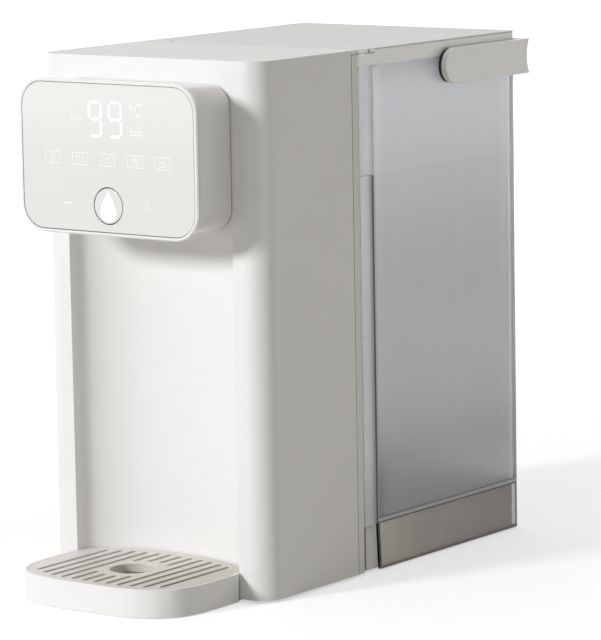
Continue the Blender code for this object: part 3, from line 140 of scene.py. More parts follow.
def along(tree, axis):
    """One object coordinate in metres."""
    split = tree.nodes.new("ShaderNodeSeparateXYZ")
    tree.links.new(place(tree), split.inputs["Vector"])
    return split.outputs[axis]


def stepped(tree, axis, stops):
    """Colour that eases through stops, each a place along one axis with its colour; the ends come first."""
    low, high = stops[0][0], stops[1][0]
    ramp = tree.nodes.new("ShaderNodeValToRGB")
    ramp.color_ramp.interpolation = "EASE"
    marks = ramp.color_ramp.elements
    for k, (place_m, colour) in enumerate(stops):
        position = (place_m - low) / (high - low)
        mark = marks[k] if k < 2 else marks.new(position)
        mark.position = position
        mark.color = (*colour, 1.0)
    tree.links.new(spread(tree, along(tree, axis), low, high, 0.0, 1.0), ramp.inputs["Fac"])
    return ramp.outputs["Color"]


def relief(tree, bsdf, height, strength, distance):
    b = add(tree, "ShaderNodeBump", Strength=strength, Distance=distance)
    tree.links.new(height, b.inputs["Height"])
    tree.links.new(b.outputs["Normal"], bsdf.inputs["Normal"])


def shade(colour, factor):
    return tuple(c * factor for c in colour)


def varied(tree, tone, pattern, share):
    """A colour that a pattern makes darker and lighter by a share."""
    change = blended(tree, pattern, (1.0 - share,) * 3, (1.0 + share,) * 3)
    return blended(tree, 1.0, tone, change, "MULTIPLY")


def roughened(tree, bsdf, pattern, low, high):
    """Roughness that wanders between two values with a pattern."""
    tree.links.new(spread(tree, pattern, 0.3, 0.7, low, high), bsdf.inputs["Roughness"])


def paint(tree, bsdf, tone):
    tree.links.new(tone, bsdf.inputs["Base Color"])


# Patterns as scale, detail and roughness: a moulding's slow flow, and the uneven gloss of its handled faces
slow_flow = (14.0, 4.0, 0.6)
smears = (60.0, 5.0, 0.6)


def moulded(name, colour, roughness, texture, coat=0.0, gloss=0.5):
    """Moulded plastic: fine spark texture, slow flow variation in colour and small changes of gloss."""
    grain, depth, strength, mottle = texture
    m, tree, bsdf = start(name)
    flow = noise(tree, *slow_flow, stretch=(1.0, 1.0, 0.45))
    paint(tree, bsdf, blended(tree, flow, shade(colour, 1.0 - mottle), shade(colour, 1.0 + mottle)))
    roughened(tree, bsdf, noise(tree, *smears), roughness - 0.05, roughness + 0.05)
    bsdf.inputs["Coat Weight"].default_value = coat
    bsdf.inputs["Coat Roughness"].default_value = 0.15
    bsdf.inputs["Specular IOR Level"].default_value = gloss
    relief(tree, bsdf, noise(tree, grain, 2.0, 0.5), strength, depth)
    return m


def metal(name, colour, roughness=0.28, brush=(40.0, 40.0, 900.0)):
    """Metal with fine tool marks, drawn out across the axis of the highest brush value."""
    m, tree, bsdf = start(name)
    lines = noise(tree, 1.0, 3.0, 0.6, brush)
    paint(tree, bsdf, blended(tree, lines, shade(colour, 0.86), shade(colour, 1.06)))
    bsdf.inputs["Metallic"].default_value = 1.0
    roughened(tree, bsdf, lines, roughness - 0.07, roughness + 0.1)
    relief(tree, bsdf, lines, 0.15, 0.00003)
    return m


def lit(name, colour, strength, base, spill=0.03):
    """A lamp behind a diffuser: bright, with a faint uneven glow over it."""
    m, tree, bsdf = start(name)
    patch = noise(tree, 220.0, 2.0, 0.5)
    tree.links.new(blended(tree, patch, shade(colour, 1.0 - spill), colour), bsdf.inputs["Emission Color"])
    bsdf.inputs["Emission Strength"].default_value = strength
    paint(tree, bsdf, blended(tree, patch, shade(colour, base - spill), shade(colour, base)))
    bsdf.inputs["Roughness"].default_value = 0.35
    return m


# Textures of mouldings: the grain's scale, depth and strength, and the share by which the colour varies
shell_spark = (1100.0, 0.00003, 0.10, 0.008)
handle_spark = (1000.0, 0.00003, 0.10, 0.008)
lid_spark = (1000.0, 0.00003, 0.12, 0.010)
tray_spark = (1200.0, 0.00003, 0.10, 0.010)
collar_spark = (900.0, 0.00004, 0.12, 0.012)
dark_grain = (700.0, 0.00006, 0.25, 0.05)
grey_grain = (700.0, 0.00006, 0.2, 0.04)
rubber_grain = (500.0, 0.00008, 0.35, 0.12)
silicone_grain = (500.0, 0.00005, 0.15, 0.05)
shade_grain = (700.0, 0.00005, 0.1, 0.03)
edge_grain = (700.0, 0.00005, 0.1, 0.04)
seam_grain = (700.0, 0.00005, 0.1, 0.05)

white = (0.83, 0.82, 0.80)
white_shell = moulded("white_shell_plastic", white, 0.46, shell_spark)
white_head = moulded("white_head_plastic", shade(white, 0.985), 0.44, shell_spark, coat=0.35)
white_lid = moulded("white_lid_plastic", shade(white, 0.895), 0.45, lid_spark)
white_handle = moulded("white_handle_plastic", (0.93, 0.925, 0.90), 0.36, handle_spark, coat=0.7)
# Painted highlight: a paler, glossier copy of the white for the hinge strip's side faces, standing in for the
# light they catch
side_painted_highlight = moulded("white_side_painted_highlight", (0.97, 0.965, 0.95), 0.34, handle_spark, coat=1.0)
white_tray = moulded("white_tray_plastic", shade(white, 1.05), 0.40, tray_spark)
beige_collar = moulded("beige_collar_plastic", (0.92, 0.92, 0.88), 0.32, collar_spark, coat=1.0)
dark_plastic = moulded("dark_plastic", (0.035, 0.035, 0.037), 0.5, dark_grain)
grey_plastic = moulded("grey_plastic", (0.30, 0.30, 0.31), 0.48, grey_grain)
rubber = moulded("black_rubber", (0.022, 0.021, 0.020), 0.75, rubber_grain)
silicone = moulded("milky_silicone", (0.66, 0.65, 0.62), 0.35, silicone_grain)
seal_silicone = moulded("grey_seal_silicone", (0.36, 0.37, 0.38), 0.4, silicone_grain)
# Painted shade: dark band along the foot of the tank's clear skirt
foot_painted_shade = moulded("skirt_foot_painted_shade", (0.22, 0.20, 0.165), 0.6, shade_grain)
# Painted shade for the tray's floor under the grille
tray_shade = moulded("tray_inside_painted_shade", (0.22, 0.21, 0.165), 0.6, shade_grain)
# Painted shadow: black for the slit between block and plinth, and for the skirt faces in front of it
slit_painted_shadow = moulded("slit_shadow_plastic", (0.012, 0.011, 0.010), 0.7, seam_grain, gloss=0.05)
# Painted shade for the dark lines of the open seams, as bands, beads and a bar laid in them
seam_painted_shade = moulded("dark_seam_painted_shade", (0.13, 0.125, 0.115), 0.7, seam_grain)
seam_line_painted_shade = moulded("grey_seam_painted_shade", (0.015, 0.015, 0.013), 0.65, seam_grain, gloss=0.1)
# Painted shade for the thin line under the lid's top edge
edge_painted_shade = moulded("lid_edge_painted_shade", (0.60, 0.60, 0.58), 0.6, edge_grain)
steel = metal("drawn_steel", (0.62, 0.62, 0.63), 0.26)
screw_steel = metal("turned_screw_steel", (0.55, 0.55, 0.56), 0.3, (700.0, 700.0, 60.0))
pin_steel = metal("blackened_pin_steel", (0.075, 0.075, 0.075), 0.45)
motor_steel = metal("motor_can_steel", (0.46, 0.47, 0.49), 0.34, (60.0, 60.0, 500.0))


def graded(name, axis, stops, share, roughness, grain, strength, depth, gloss=0.5, flow=slow_flow,
           stretch=(1.0, 1.0, 1.0), dull=smears):
    """Moulding whose colour changes along one axis through stops, with slow flow in it."""
    m, tree, bsdf = start(name)
    pattern = noise(tree, *flow, stretch=stretch)
    paint(tree, bsdf, varied(tree, stepped(tree, axis, stops), pattern, share))
    roughened(tree, bsdf, noise(tree, *dull), *roughness)
    bsdf.inputs["Specular IOR Level"].default_value = gloss
    relief(tree, bsdf, noise(tree, grain, 2.0, 0.5), strength, depth)
    return m


# The housing is painted paler on the block that the tank hooks over, painted light against the shade there;
# the grille is painted warmer and darker towards its right side as painted shade; and the plinth in the clear
# skirt is glossy and darker towards the rear
strip_white = (0.79, 0.78, 0.75)
block_painted_light = (0.905, 0.895, 0.865)
painted_light_from = 0.002
rear_painted_light = graded(
    "warm_rear_painted_light", "Y",
    ((block_low.y, strip_white), (block_high.y, block_painted_light), (painted_light_from, strip_white)),
    0.015, (0.45, 0.55), 800.0, 0.18, 0.00005)
grille_middle = -0.002
# Painted shade: the grille darkens and warms from its left side to its right
grille_painted_shade = graded(
    "beige_grille_painted_shade", "X",
    ((tray_low.x, (0.83, 0.78, 0.75)), (tray_high.x, (0.59, 0.555, 0.475)),
     (grille_middle, (0.73, 0.695, 0.63))),
    0.015, (0.37, 0.47), 1200.0, 0.12, 0.00003)
plinth_middle = plinth_low.y + 0.055
taupe_plinth = graded(
    "taupe_plinth_plastic", "Y",
    ((plinth_low.y, (0.438, 0.400, 0.285)), (plinth_high.y, (0.140, 0.106, 0.085)),
     (plinth_middle, (0.260, 0.220, 0.166))),
    0.07, (0.20, 0.34), 60.0, 0.08, 0.0003, gloss=0.12, flow=(22.0, 4.0, 0.6), stretch=(1.0, 1.0, 3.0),
    dull=(45.0, 3.0, 0.5))


def board_material(name, mask, ink=(0.55, 0.60, 0.52)):
    """Circuit board: solder mask over a grid of tracks and pads."""
    m, tree, bsdf = start(name)
    tracks = tree.nodes.new("ShaderNodeTexBrick")
    for key, v in (("Scale", 90.0), ("Mortar Size", 0.012), ("Brick Width", 0.6), ("Row Height", 0.22)):
        tracks.inputs[key].default_value = v
    tracks.inputs["Color1"].default_value = (*mask, 1.0)
    tracks.inputs["Color2"].default_value = (*shade(mask, 1.35), 1.0)
    tracks.inputs["Mortar"].default_value = (*ink, 1.0)
    coords = place(tree)
    tree.links.new(coords, tracks.inputs["Vector"])
    pads = add(tree, "ShaderNodeTexVoronoi", Scale=260.0)
    tree.links.new(coords, pads.inputs["Vector"])
    pad = spread(tree, pads.outputs["Distance"], 0.12, 0.16, 1.0, 0.0)
    paint(tree, bsdf, blended(tree, pad, tracks.outputs["Color"], (0.62, 0.60, 0.50)))
    bsdf.inputs["Roughness"].default_value = 0.38
    relief(tree, bsdf, pad, 0.2, 0.00005)
    return m


def cable_material():
    """Flat ribbon of fine wires side by side."""
    m, tree, bsdf = start("ribbon_cable")
    wave = tree.nodes.new("ShaderNodeTexWave")
    wave.wave_type = "BANDS"
    wave.bands_direction = "X"
    wave.inputs["Scale"].default_value = 260.0
    tree.links.new(place(tree), wave.inputs["Vector"])
    paint(tree, bsdf, blended(tree, wave.outputs["Fac"], (0.28, 0.28, 0.29), (0.52, 0.52, 0.53)))
    bsdf.inputs["Roughness"].default_value = 0.5
    relief(tree, bsdf, wave.outputs["Fac"], 0.4, 0.0003)
    return m


def glass_material():
    """Back-printed pale grey touch glass with faint smudges, painted paler towards the top as painted light.
    """
    m, tree, bsdf = start("pale_touch_glass")
    low_grey = (0.725, 0.71, 0.685)
    high_grey = (0.77, 0.755, 0.73)
    # Painted light: the glass grows paler towards its top
    tone = spread(tree, along(tree, "Z"), button_high.z + 0.012, glass_high.z - 0.008, 0.0, 1.0, True)
    paint(tree, bsdf, blended(tree, tone, low_grey, high_grey))
    smudge = noise(tree, 55.0, 6.0, 0.62)
    tree.links.new(spread(tree, smudge, 0.35, 0.75, 0.10, 0.22), bsdf.inputs["Roughness"])
    bsdf.inputs["Coat Weight"].default_value = 0.5
    bsdf.inputs["Coat Roughness"].default_value = 0.05
    relief(tree, bsdf, smudge, 0.02, 0.00005)
    return m


def tank_material(name, colour, clear, roughness, streak=0.03, levels=(), coat=0.0, gloss=0.5, ripple=0.04):
    """Clear moulding with faint upright flow streaks; levels are heights with a share of the colour there,
    used as painted shade.
    """
    m, tree, bsdf = start(name)
    streaks = noise(tree, 1.0, 3.0, 0.55, (230.0, 230.0, 8.0))
    tone = blended(tree, streaks, shade(colour, 1.0 - streak), shade(colour, 1.0 + streak))
    if levels:
        ramp = stepped(tree, "Z", [(z, (level,) * 3) for z, level in levels])
        tone = blended(tree, 1.0, tone, ramp, "MULTIPLY")
    paint(tree, bsdf, tone)
    roughened(tree, bsdf, streaks, roughness - 0.03, roughness + 0.05)
    bsdf.inputs["Transmission Weight"].default_value = clear
    bsdf.inputs["IOR"].default_value = 1.49
    bsdf.inputs["Coat Weight"].default_value = coat
    bsdf.inputs["Coat Roughness"].default_value = 0.06
    bsdf.inputs["Specular IOR Level"].default_value = gloss
    relief(tree, bsdf, noise(tree, 500.0, 2.0, 0.5), ripple, 0.00003)
    return m


power_green = board_material("power_board_laminate", (0.030, 0.13, 0.055))
display_green = board_material("display_board_laminate", (0.025, 0.10, 0.050))
ribbon = cable_material()
touch_glass = glass_material()
# Painted shade: the tank and its flange are darker towards the foot, with a step in tone at tone_step_line
tank_painted_shade_levels = ((0.030, 0.745), (0.285, 1.0), (0.047, 0.73), (0.062, 0.69), (0.088, 0.76), (0.115, 0.77),
               (0.165, 0.748), (tone_step_line - 0.002, 0.825), (tone_step_line + 0.003, 0.875), (0.255, 0.915))
flange_painted_shade_levels = ((0.030, 0.76), (body_top, 1.0), (0.075, 0.97))
smoked = tank_material("smoked_tank_plastic", (0.935, 0.945, 0.965), 0.85, 0.34, 0.08, tank_painted_shade_levels)
# Painted shade and painted highlights for the lines where the tank's wall is seen edge-on
rim_painted_highlight = tank_material("bright_edge_painted_highlight", (0.86, 0.875, 0.90), 0.45, 0.22)
rim_painted_shade = tank_material("dark_edge_painted_shade", (0.045, 0.045, 0.05), 0.1, 0.4)
slit_rim_painted_shade = tank_material("black_edge_painted_shade", (0.10, 0.102, 0.108), 0.1, 0.4, gloss=0.16)
line_painted_shade = tank_material("smoked_edge_painted_shade", (0.56, 0.57, 0.59), 0.5, 0.25)
soft_painted_shade = tank_material("shaded_edge_plastic", (0.62, 0.63, 0.65), 0.6, 0.3)
flange_clear = tank_material("smoked_flange_plastic", (0.955, 0.975, 1.0), 0.72, 0.14, 0.01, flange_painted_shade_levels,
                             coat=1.0, ripple=0.01)
# Painted shade on the flange just in front of the hook line
flange_shade = tank_material("shaded_flange_plastic", (0.78, 0.795, 0.82), 0.62, 0.2, 0.01, flange_painted_shade_levels,
                             coat=0.6, ripple=0.01)
slit_window = tank_material("slit_window_plastic", (0.985, 0.985, 0.98), 0.98, 0.05, 0.01, gloss=0.06)
skirt_clear = tank_material("clear_skirt_plastic", (0.90, 0.90, 0.895), 0.97, 0.05, 0.01)
skirt_corner = tank_material("smoked_skirt_plastic", (0.55, 0.55, 0.56), 0.9, 0.12, 0.02)
valve_clear = tank_material("milky_valve_plastic", (0.72, 0.73, 0.74), 0.35, 0.3)
lamp_white = lit("lit_symbol_white", (1.0, 1.0, 1.0), 0.10, 0.84)
lamp_soft = lit("lit_symbol_soft", (0.97, 0.98, 0.98), 0.035, 0.79)

finish = {
    white_shell: ["front_shell"],
    white_head: ["head_housing", "button_sleeve", "hinge_strip"],
    white_lid: ["tank_lid"],
    white_handle: ["tank_handle"],
    white_tray: ["drip_tray"],
    grille_painted_shade: ["drip_grille"],
    rear_painted_light: ["rear_housing", "base_plate"],
    beige_collar: ["tank_collar", "key_light_bar"],
    taupe_plinth: ["tank_base"],
    touch_glass: ["touch_glass", "dispense_button"],
    grey_plastic: ["pump_head", "pump_bracket", "spout", "spout_nut", "button_switch", "mains_gland"],
    dark_plastic: ["display_module", "thermal_cutout", "heater_lower_cap", "heater_upper_cap",
                   "valve_socket"],
    rubber: ["front_left_foot", "front_right_foot", "rear_left_foot", "rear_right_foot"],
    silicone: ["inlet_hose", "transfer_hose", "outlet_hose"],
    seal_silicone: ["socket_seal", "valve_seal"],
    steel: ["heater_tube", "heater_bracket", "valve_spring", "tank_strainer", "temperature_sensor"],
    screw_steel: ["front_left_base_screw", "front_right_base_screw", "rear_left_base_screw",
                  "rear_right_base_screw", "left_head_screw", "right_head_screw"],
    pin_steel: ["lid_hinge_pin"],
    motor_steel: ["pump_motor"],
    power_green: ["power_board"],
    display_green: ["display_board"],
    ribbon: ["display_cable"],
    smoked: ["tank_body"],
    valve_clear: ["tank_valve_body", "valve_plunger", "left_handle_pin", "right_handle_pin"],
}
for surface, names in finish.items():
    for name in names:
        obj = nodes[name]
        for slot in obj.material_slots:
            slot.material = surface
missing = sorted(set(nodes) - {n for names in finish.values() for n in names})
if missing:
    raise ValueError(f"no finish for {missing}")


# Marks on the glass, as flat plates a hair proud of it

mark_sink = 0.00012
mark_proud = 0.00006


def new_piece(name, bm, surface, body):
    """A finished mesh as a piece of the scene that rides one body."""
    mesh = bpy.data.meshes.new(name)
    bm.to_mesh(mesh)
    bm.free()
    mesh.materials.append(surface)
    obj = bpy.data.objects.new(name, mesh)
    scene.collection.objects.link(obj)
    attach(obj, body)
    return obj


def plate_piece(name, outlines, front=glass_low.y, surface=lamp_white, body="main_unit"):
    """Closed outlines in x and z, each a thin plate whose face stands just proud of the front plane."""
    bm = bmesh.new()
    for outline in outlines:
        near = [bm.verts.new((x, front - mark_proud, z)) for x, z in outline]
        far = [bm.verts.new((x, front + mark_sink, z)) for x, z in outline]
        bm.faces.new(near)
        bm.faces.new(list(reversed(far)))
        for i in range(len(near)):
            j = (i + 1) % len(near)
            bm.faces.new((near[j], near[i], far[i], far[j]))
    bmesh.ops.recalc_face_normals(bm, faces=bm.faces)
    bmesh.ops.triangulate(bm, faces=bm.faces)
    new_piece(name, bm, surface, body)


def segment(cx, cz, length, width, upright):
    """Six-sided display segment about a centre."""
    h, w = length / 2.0, width / 2.0
    points = [(-h, 0.0), (-h + w, w), (h - w, w), (h, 0.0), (h - w, -w), (-h + w, -w)]
    if upright:
        return [(cx + b, cz + a) for a, b in reversed(points)]
    return [(cx + a, cz + b) for a, b in points]


def digit(pattern, x0, z0, wide, tall, width, gap):
    """Seven-segment digit; the pattern names the lit segments."""
    half = tall / 2.0
    spots = {
        "a": (wide / 2.0, tall, False), "g": (wide / 2.0, half, False), "d": (wide / 2.0, 0.0, False),
        "f": (0.0, half * 1.5, True), "b": (wide, half * 1.5, True),
        "e": (0.0, half * 0.5, True), "c": (wide, half * 0.5, True),
    }
    out = []
    for key in pattern:
        cx, cz, upright = spots[key]
        length = (half if upright else wide) - gap
        out.append([(x0 + x, z0 + z) for x, z in segment(cx, cz, length, width, upright)])
    return out


def ribbon_outline(points, width, closed=False):
    """Constant-width strip along points, as one closed outline for each of its straight lengths."""
    out = []
    count = len(points)
    across = []
    for i in range(count):
        if closed:
            a, b = points[i - 1], points[(i + 1) % count]
        else:
            a, b = points[max(i - 1, 0)], points[min(i + 1, count - 1)]
        dx, dz = b[0] - a[0], b[1] - a[1]
        size = math.hypot(dx, dz) or 1.0
        across.append((-dz / size, dx / size))
    h = width / 2.0
    for i in range(count if closed else count - 1):
        j = (i + 1) % count
        (x0, z0), (x1, z1) = points[i], points[j]
        (n0x, n0z), (n1x, n1z) = across[i], across[j]
        out.append([(x0 + n0x * h, z0 + n0z * h), (x1 + n1x * h, z1 + n1z * h),
                    (x1 - n1x * h, z1 - n1z * h), (x0 - n0x * h, z0 - n0z * h)])
    return out


def ring_points(cx, cz, rx, rz, first=0.0, last=360.0, count=24):
    """Points on an ellipse, from one angle to another in degrees."""
    full = abs(last - first) >= 360.0
    turns = [math.radians(first + (last - first) * i / count) for i in range(count if full else count + 1)]
    return [(cx + rx * math.cos(turn), cz + rz * math.sin(turn)) for turn in turns]


def frame_points(cx, cz, wide, tall, radius, count=5):
    """Points round a rectangle with rounded corners."""
    pts = []
    for sx, sz, a0 in ((1, 1, 0), (-1, 1, 90), (-1, -1, 180), (1, -1, 270)):
        ox, oz = cx + sx * (wide / 2 - radius), cz + sz * (tall / 2 - radius)
        for i in range(count + 1):
            a = math.radians(a0 + 90.0 * i / count)
            pts.append((ox + radius * math.cos(a), oz + radius * math.sin(a)))
    return pts


def drop_points(cx, cz, half_wide, tall, count=40):
    """Generic drop: round below, drawn to a point above."""
    pts = []
    centre = cz - tall / 2.0 + half_wide
    reach = tall - half_wide
    for i in range(count):
        turn = 2.0 * math.pi * i / count
        x = half_wide * math.sin(turn)
        up = math.cos(turn)
        if up > 0:
            pts.append((cx + x * (1.0 - up ** 3 * 0.55), centre + reach * up ** 1.9))
        else:
            pts.append((cx + x, centre + half_wide * up))
    return pts


# Layout of the marks, measured from the middle of the glass and up from the table

digit_lefts = (-0.0120, 0.0022)
digit_foot = 0.2594
digit_wide = 0.0082
digit_tall = 0.0186
digit_stroke = 0.0019
digit_gap = 0.0006
degree_x, degree_z, degree_radius = 0.0177, 0.2764, 0.0011
unit_x, unit_z = 0.0234, 0.2746
ring_left, ring_pitch, ring_z = -0.0242, 0.0026, 0.2686
dash_rows = (0.2628, 0.2610)
dash_left = 0.0166
dash_pitch = 0.0023
dash_wide = 0.0017
dash_half = 0.0005
key_centres = (-0.0387, -0.0193, 0.0, 0.0195, 0.0387)
drop_x, waves_x, cup_x, clock_x, lock_x = key_centres
key_z = 0.2464
key_wide, key_tall, key_corner = 0.0104, 0.0066, 0.0010
key_stroke = 0.00040
glyph_stroke = 0.00042
sign_z = 0.2215
sign_stroke = 0.0007
small_stroke = 0.0005
faint_stroke = 0.0003

digits = []
for left in digit_lefts:
    digits += digit("abcdfg", left, digit_foot, digit_wide, digit_tall, digit_stroke, digit_gap)
plate_piece("display_digits", digits)

degree = ring_points(degree_x, degree_z, degree_radius, degree_radius, count=16)
unit = ribbon_outline(degree, small_stroke, True)
unit += ribbon_outline(ring_points(unit_x, unit_z, 0.0028, 0.0033, 50.0, 310.0, 20), sign_stroke)
plate_piece("display_unit", unit)

status = []
for row in dash_rows:
    for k in range(4):
        left = dash_left + dash_pitch * k
        status.append([(left, row - dash_half), (left + dash_wide, row - dash_half),
                       (left + dash_wide, row + dash_half), (left, row + dash_half)])
for k in range(3):
    ring = ring_points(ring_left + ring_pitch * k, ring_z, 0.0008, 0.0010, count=12)
    status += ribbon_outline(ring, small_stroke, True)
plate_piece("display_status_marks", status)


def glyph_line(points, closed=False):
    return ribbon_outline(points, glyph_stroke, closed)


keys = []
for centre in key_centres:
    keys += ribbon_outline(frame_points(centre, key_z, key_wide, key_tall, key_corner), key_stroke, True)
plate_piece("display_key_frames", keys)

# The signs on the keys: a drop, three waves, a cup, a clock and a lock
glyphs = glyph_line(drop_points(drop_x, key_z, 0.0013, 0.0042, 20), True)
for k in (-1, 0, 1):
    wave_x = waves_x + k * 0.0022
    glyphs += glyph_line([(wave_x + 0.0004 * math.sin(i), key_z - 0.0019 + 0.00063 * i) for i in range(7)])
glyphs += glyph_line([(cup_x - 0.0021, key_z + 0.0019), (cup_x - 0.0015, key_z - 0.0019),
                      (cup_x + 0.0015, key_z - 0.0019), (cup_x + 0.0021, key_z + 0.0019)])
glyphs += glyph_line([(cup_x - 0.0019, key_z + 0.0006), (cup_x + 0.0019, key_z + 0.0006)])
glyphs += glyph_line(ring_points(clock_x, key_z, 0.0019, 0.0019, count=20), True)
glyphs += glyph_line([(clock_x, key_z + 0.0012), (clock_x, key_z), (clock_x + 0.0010, key_z - 0.0004)])
glyphs += glyph_line(frame_points(lock_x, key_z - 0.0007, 0.0034, 0.0024, 0.0004), True)
glyphs += glyph_line(ring_points(lock_x, key_z + 0.0005, 0.0010, 0.0013, 0.0, 180.0, 10))
plate_piece("display_key_glyphs", glyphs)

signs = []
for line in (((-0.0320, sign_z), (-0.0254, sign_z)), ((0.0244, sign_z), (0.0303, sign_z)),
             ((0.02735, sign_z - 0.0030), (0.02735, sign_z + 0.0030))):
    signs += ribbon_outline(line, sign_stroke)
plate_piece("display_signs", signs)
faint = ribbon_outline(ring_points(-0.0397, sign_z, 0.0016, 0.0016, count=20), faint_stroke, True)
plate_piece("display_lamp_ring", faint, surface=lamp_soft)

button_centre = (button_low + button_high) / 2.0
button_drop = drop_points(0.0, button_centre.z - 0.0004, 0.0061, 0.0174)
plate_piece("button_drop_symbol", [button_drop], button_low.y, body="dispense_button")


# The outer mouldings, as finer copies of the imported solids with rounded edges

weld_reach = 0.000001
cut_reach = 0.0000001
flat_angle = math.radians(0.4)
sharp_angle = math.radians(35.0)


def cuts_across(axis, places):
    """Planes across one axis, each as a point and a normal."""
    normal = tuple(1.0 if i == axis else 0.0 for i in range(3))
    return [(tuple(n * place_m for n in normal), normal) for place_m in places]


def cut(bm, point, normal):
    return bmesh.ops.bisect_plane(bm, geom=bm.verts[:] + bm.edges[:] + bm.faces[:], plane_co=point,
                                  plane_no=normal, dist=cut_reach)


def eased(value, stops):
    """Value moved by a shift that runs straight between stops, each a place with its shift."""
    last = stops[0]
    if value <= last[0]:
        return value + last[1]
    for stop in stops[1:]:
        if value <= stop[0]:
            share = (value - last[0]) / (stop[0] - last[0])
            return value + last[1] + share * (stop[1] - last[1])
        last = stop
    return value + last[1]


def sliced(bm, cuts):
    for point, normal in cuts:
        cut(bm, point, normal)


def welded(node, cuts=(), reshape=None, bends=()):
    """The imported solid's mesh with its split corners joined and its flat faces made whole.

    It is cut along bends before the reshape, and along cuts after it."""
    bm = bmesh.new()
    bm.from_mesh(nodes[node].data)
    bmesh.ops.remove_doubles(bm, verts=bm.verts, dist=weld_reach)
    sliced(bm, bends)
    if reshape:
        for v in bm.verts:
            v.co = reshape(v.co)
    bmesh.ops.dissolve_limit(bm, angle_limit=flat_angle, verts=bm.verts, edges=bm.edges,
                             use_dissolve_boundaries=False)
    sliced(bm, cuts)
    return bm


def refined(node, body, surfaces, edge, segments=3, pick=None, cuts=(), reshape=None, bends=()):
    """A finer stand-in for a node: smooth curved faces, true flat faces and edges with a moulding's radius.

    Where there is more than one surface, pick names the one for a face."""
    bm = welded(node, cuts, reshape, bends)
    mesh = bpy.data.meshes.new(node + "_moulding")
    bm.to_mesh(mesh)
    bm.free()
    obj = bpy.data.objects.new(node + "_moulding", mesh)
    scene.collection.objects.link(obj)
    for surface in surfaces:
        mesh.materials.append(surface)
    if pick:
        for face in mesh.polygons:
            face.material_index = surfaces.index(pick(face))
    mesh.shade_smooth()
    mesh.set_sharp_from_angle(angle=sharp_angle)
    rounding = obj.modifiers.new("edges", "BEVEL")
    rounding.width = edge
    rounding.segments = segments
    rounding.limit_method = "ANGLE"
    rounding.angle_limit = sharp_angle
    rounding.use_clamp_overlap = True
    rounding.harden_normals = False
    flats = obj.modifiers.new("flats", "WEIGHTED_NORMAL")
    flats.mode = "FACE_AREA"
    flats.weight = 60
    flats.keep_sharp = False
    bpy.context.view_layer.update()
    depsgraph = bpy.context.evaluated_depsgraph_get()
    finished = bpy.data.meshes.new_from_object(obj.evaluated_get(depsgraph), preserve_all_data_layers=True,
                                               depsgraph=depsgraph)
    obj.modifiers.clear()
    obj.data = finished
    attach(obj, body)
    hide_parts(node)


# The photograph sets a few seams up to 1.9 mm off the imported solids, and the finer copies follow it

collar_foot = tank_high.z + 0.0003
seam_y = block_low.y - 0.0003
wall_y = tank_low.y
rear_y = tank_high.y
body_shift = 0.0009
rear_shift = 0.0019
depth_shifts = (
    (seam_y - 0.006, 0.0), (seam_y, body_shift), (wall_y - 0.0002, 0.0001),
    (block_high.y - 0.0016, body_shift), (block_high.y + 0.0006, body_shift),
    (plinth_low.y, 0.0004), (plinth_low.y + 0.02, 0.0005), (rear_y, rear_shift))
lid_shift = 0.0008
lid_shifts = ((lid_low.z, 0.0), (lid_high.z - 0.0031, lid_shift), (lid_high.z - 0.0028, lid_shift),
              (lid_high.z, 0.0))
hollow_y = handle_high.y - 0.0036
handle_shifts = ((handle_low.y + 0.03, 0.0), (rear_y + 0.0025, rear_shift), (hollow_y, 0.0011),
                 (handle_high.y, 0.0))
button_shifts = ((0.0070, 0.0), (0.0098, -0.0005), (0.0112, -0.0005), (0.0135, 0.0))
drain_shifts = ((0.0125, -0.0009), (0.0160, -0.0009), (0.0185, 0.0))
drain_centre = Vector((0.0, head_back - 0.0209))

# The lid is thinner only behind hinge_clear, and the hinge strip only in front of strip_front
hinge_clear = 0.0110
strip_front = 0.0040

# How far the slit between block and plinth lies further back at the table than at its top
slit_lean = 0.0016


def deeper(co):
    """A place moved back or forward with the seams near it."""
    return Vector((co.x, eased(co.y, depth_shifts), co.z))


def thinner(co):
    """A place moved with the seams near it, and up where the lid is made thinner."""
    return Vector((co.x, eased(co.y, depth_shifts), eased(co.z, lid_shifts)))


def lid_thinner(co):
    """The lid made thinner behind its hinge barrels, which stay round about their axis."""
    return co.copy() if co.y < hinge_clear else thinner(co)


def strip_thinner(co):
    """The hinge strip made thinner in front of the recesses that the lid's barrels turn in."""
    return Vector((co.x, co.y, eased(co.z, lid_shifts) if co.y < strip_front else co.z))


def leaning(co):
    """The block's foot and the plinth's front, leaned back towards the table as the photographed slit is."""
    moved = deeper(co)
    if block_high.y - 0.0027 < co.y < plinth_low.y + 0.0030:
        moved.y += slit_lean * lean_share(co.z)
    return moved


def skirt_leaning(co):
    """The tank moved like its neighbours, with the front ends of its skirt leaned back as the slit is."""
    moved = deeper(co)
    if co.z < plinth_high.z and co.y < plinth_low.y - 0.0010:
        moved.y += slit_lean * lean_share(co.z)
    return moved


def lean_share(z):
    """0 at the top of the plinth and above, 1 at its foot."""
    return min(max((plinth_high.z - z) / (plinth_high.z - plinth_low.z), 0.0), 1.0)


def slimmer(co):
    """The handle with a bar that is slimmer from front to back."""
    return Vector((co.x, eased(co.y, handle_shifts), co.z))


def drawn_in(off, shifts):
    """A place in a plane moved towards the centre by shifts that depend on its distance."""
    return off * (eased(off.length, shifts) / off.length) if off.length >= 0.001 else off


def round_button(co):
    """The button and the hole that it runs in, drawn in a little towards the button's axis."""
    moved = drawn_in(Vector((co.x - button_centre.x, co.z - button_centre.z)), button_shifts)
    return Vector((button_centre.x + moved.x, co.y, button_centre.z + moved.y))


def round_hole(co):
    """The grille with its drain hole drawn in a little."""
    moved = drawn_in(Vector((co.x, co.y)) - drain_centre, drain_shifts)
    return Vector((drain_centre.x + moved.x, drain_centre.y + moved.y, co.z))


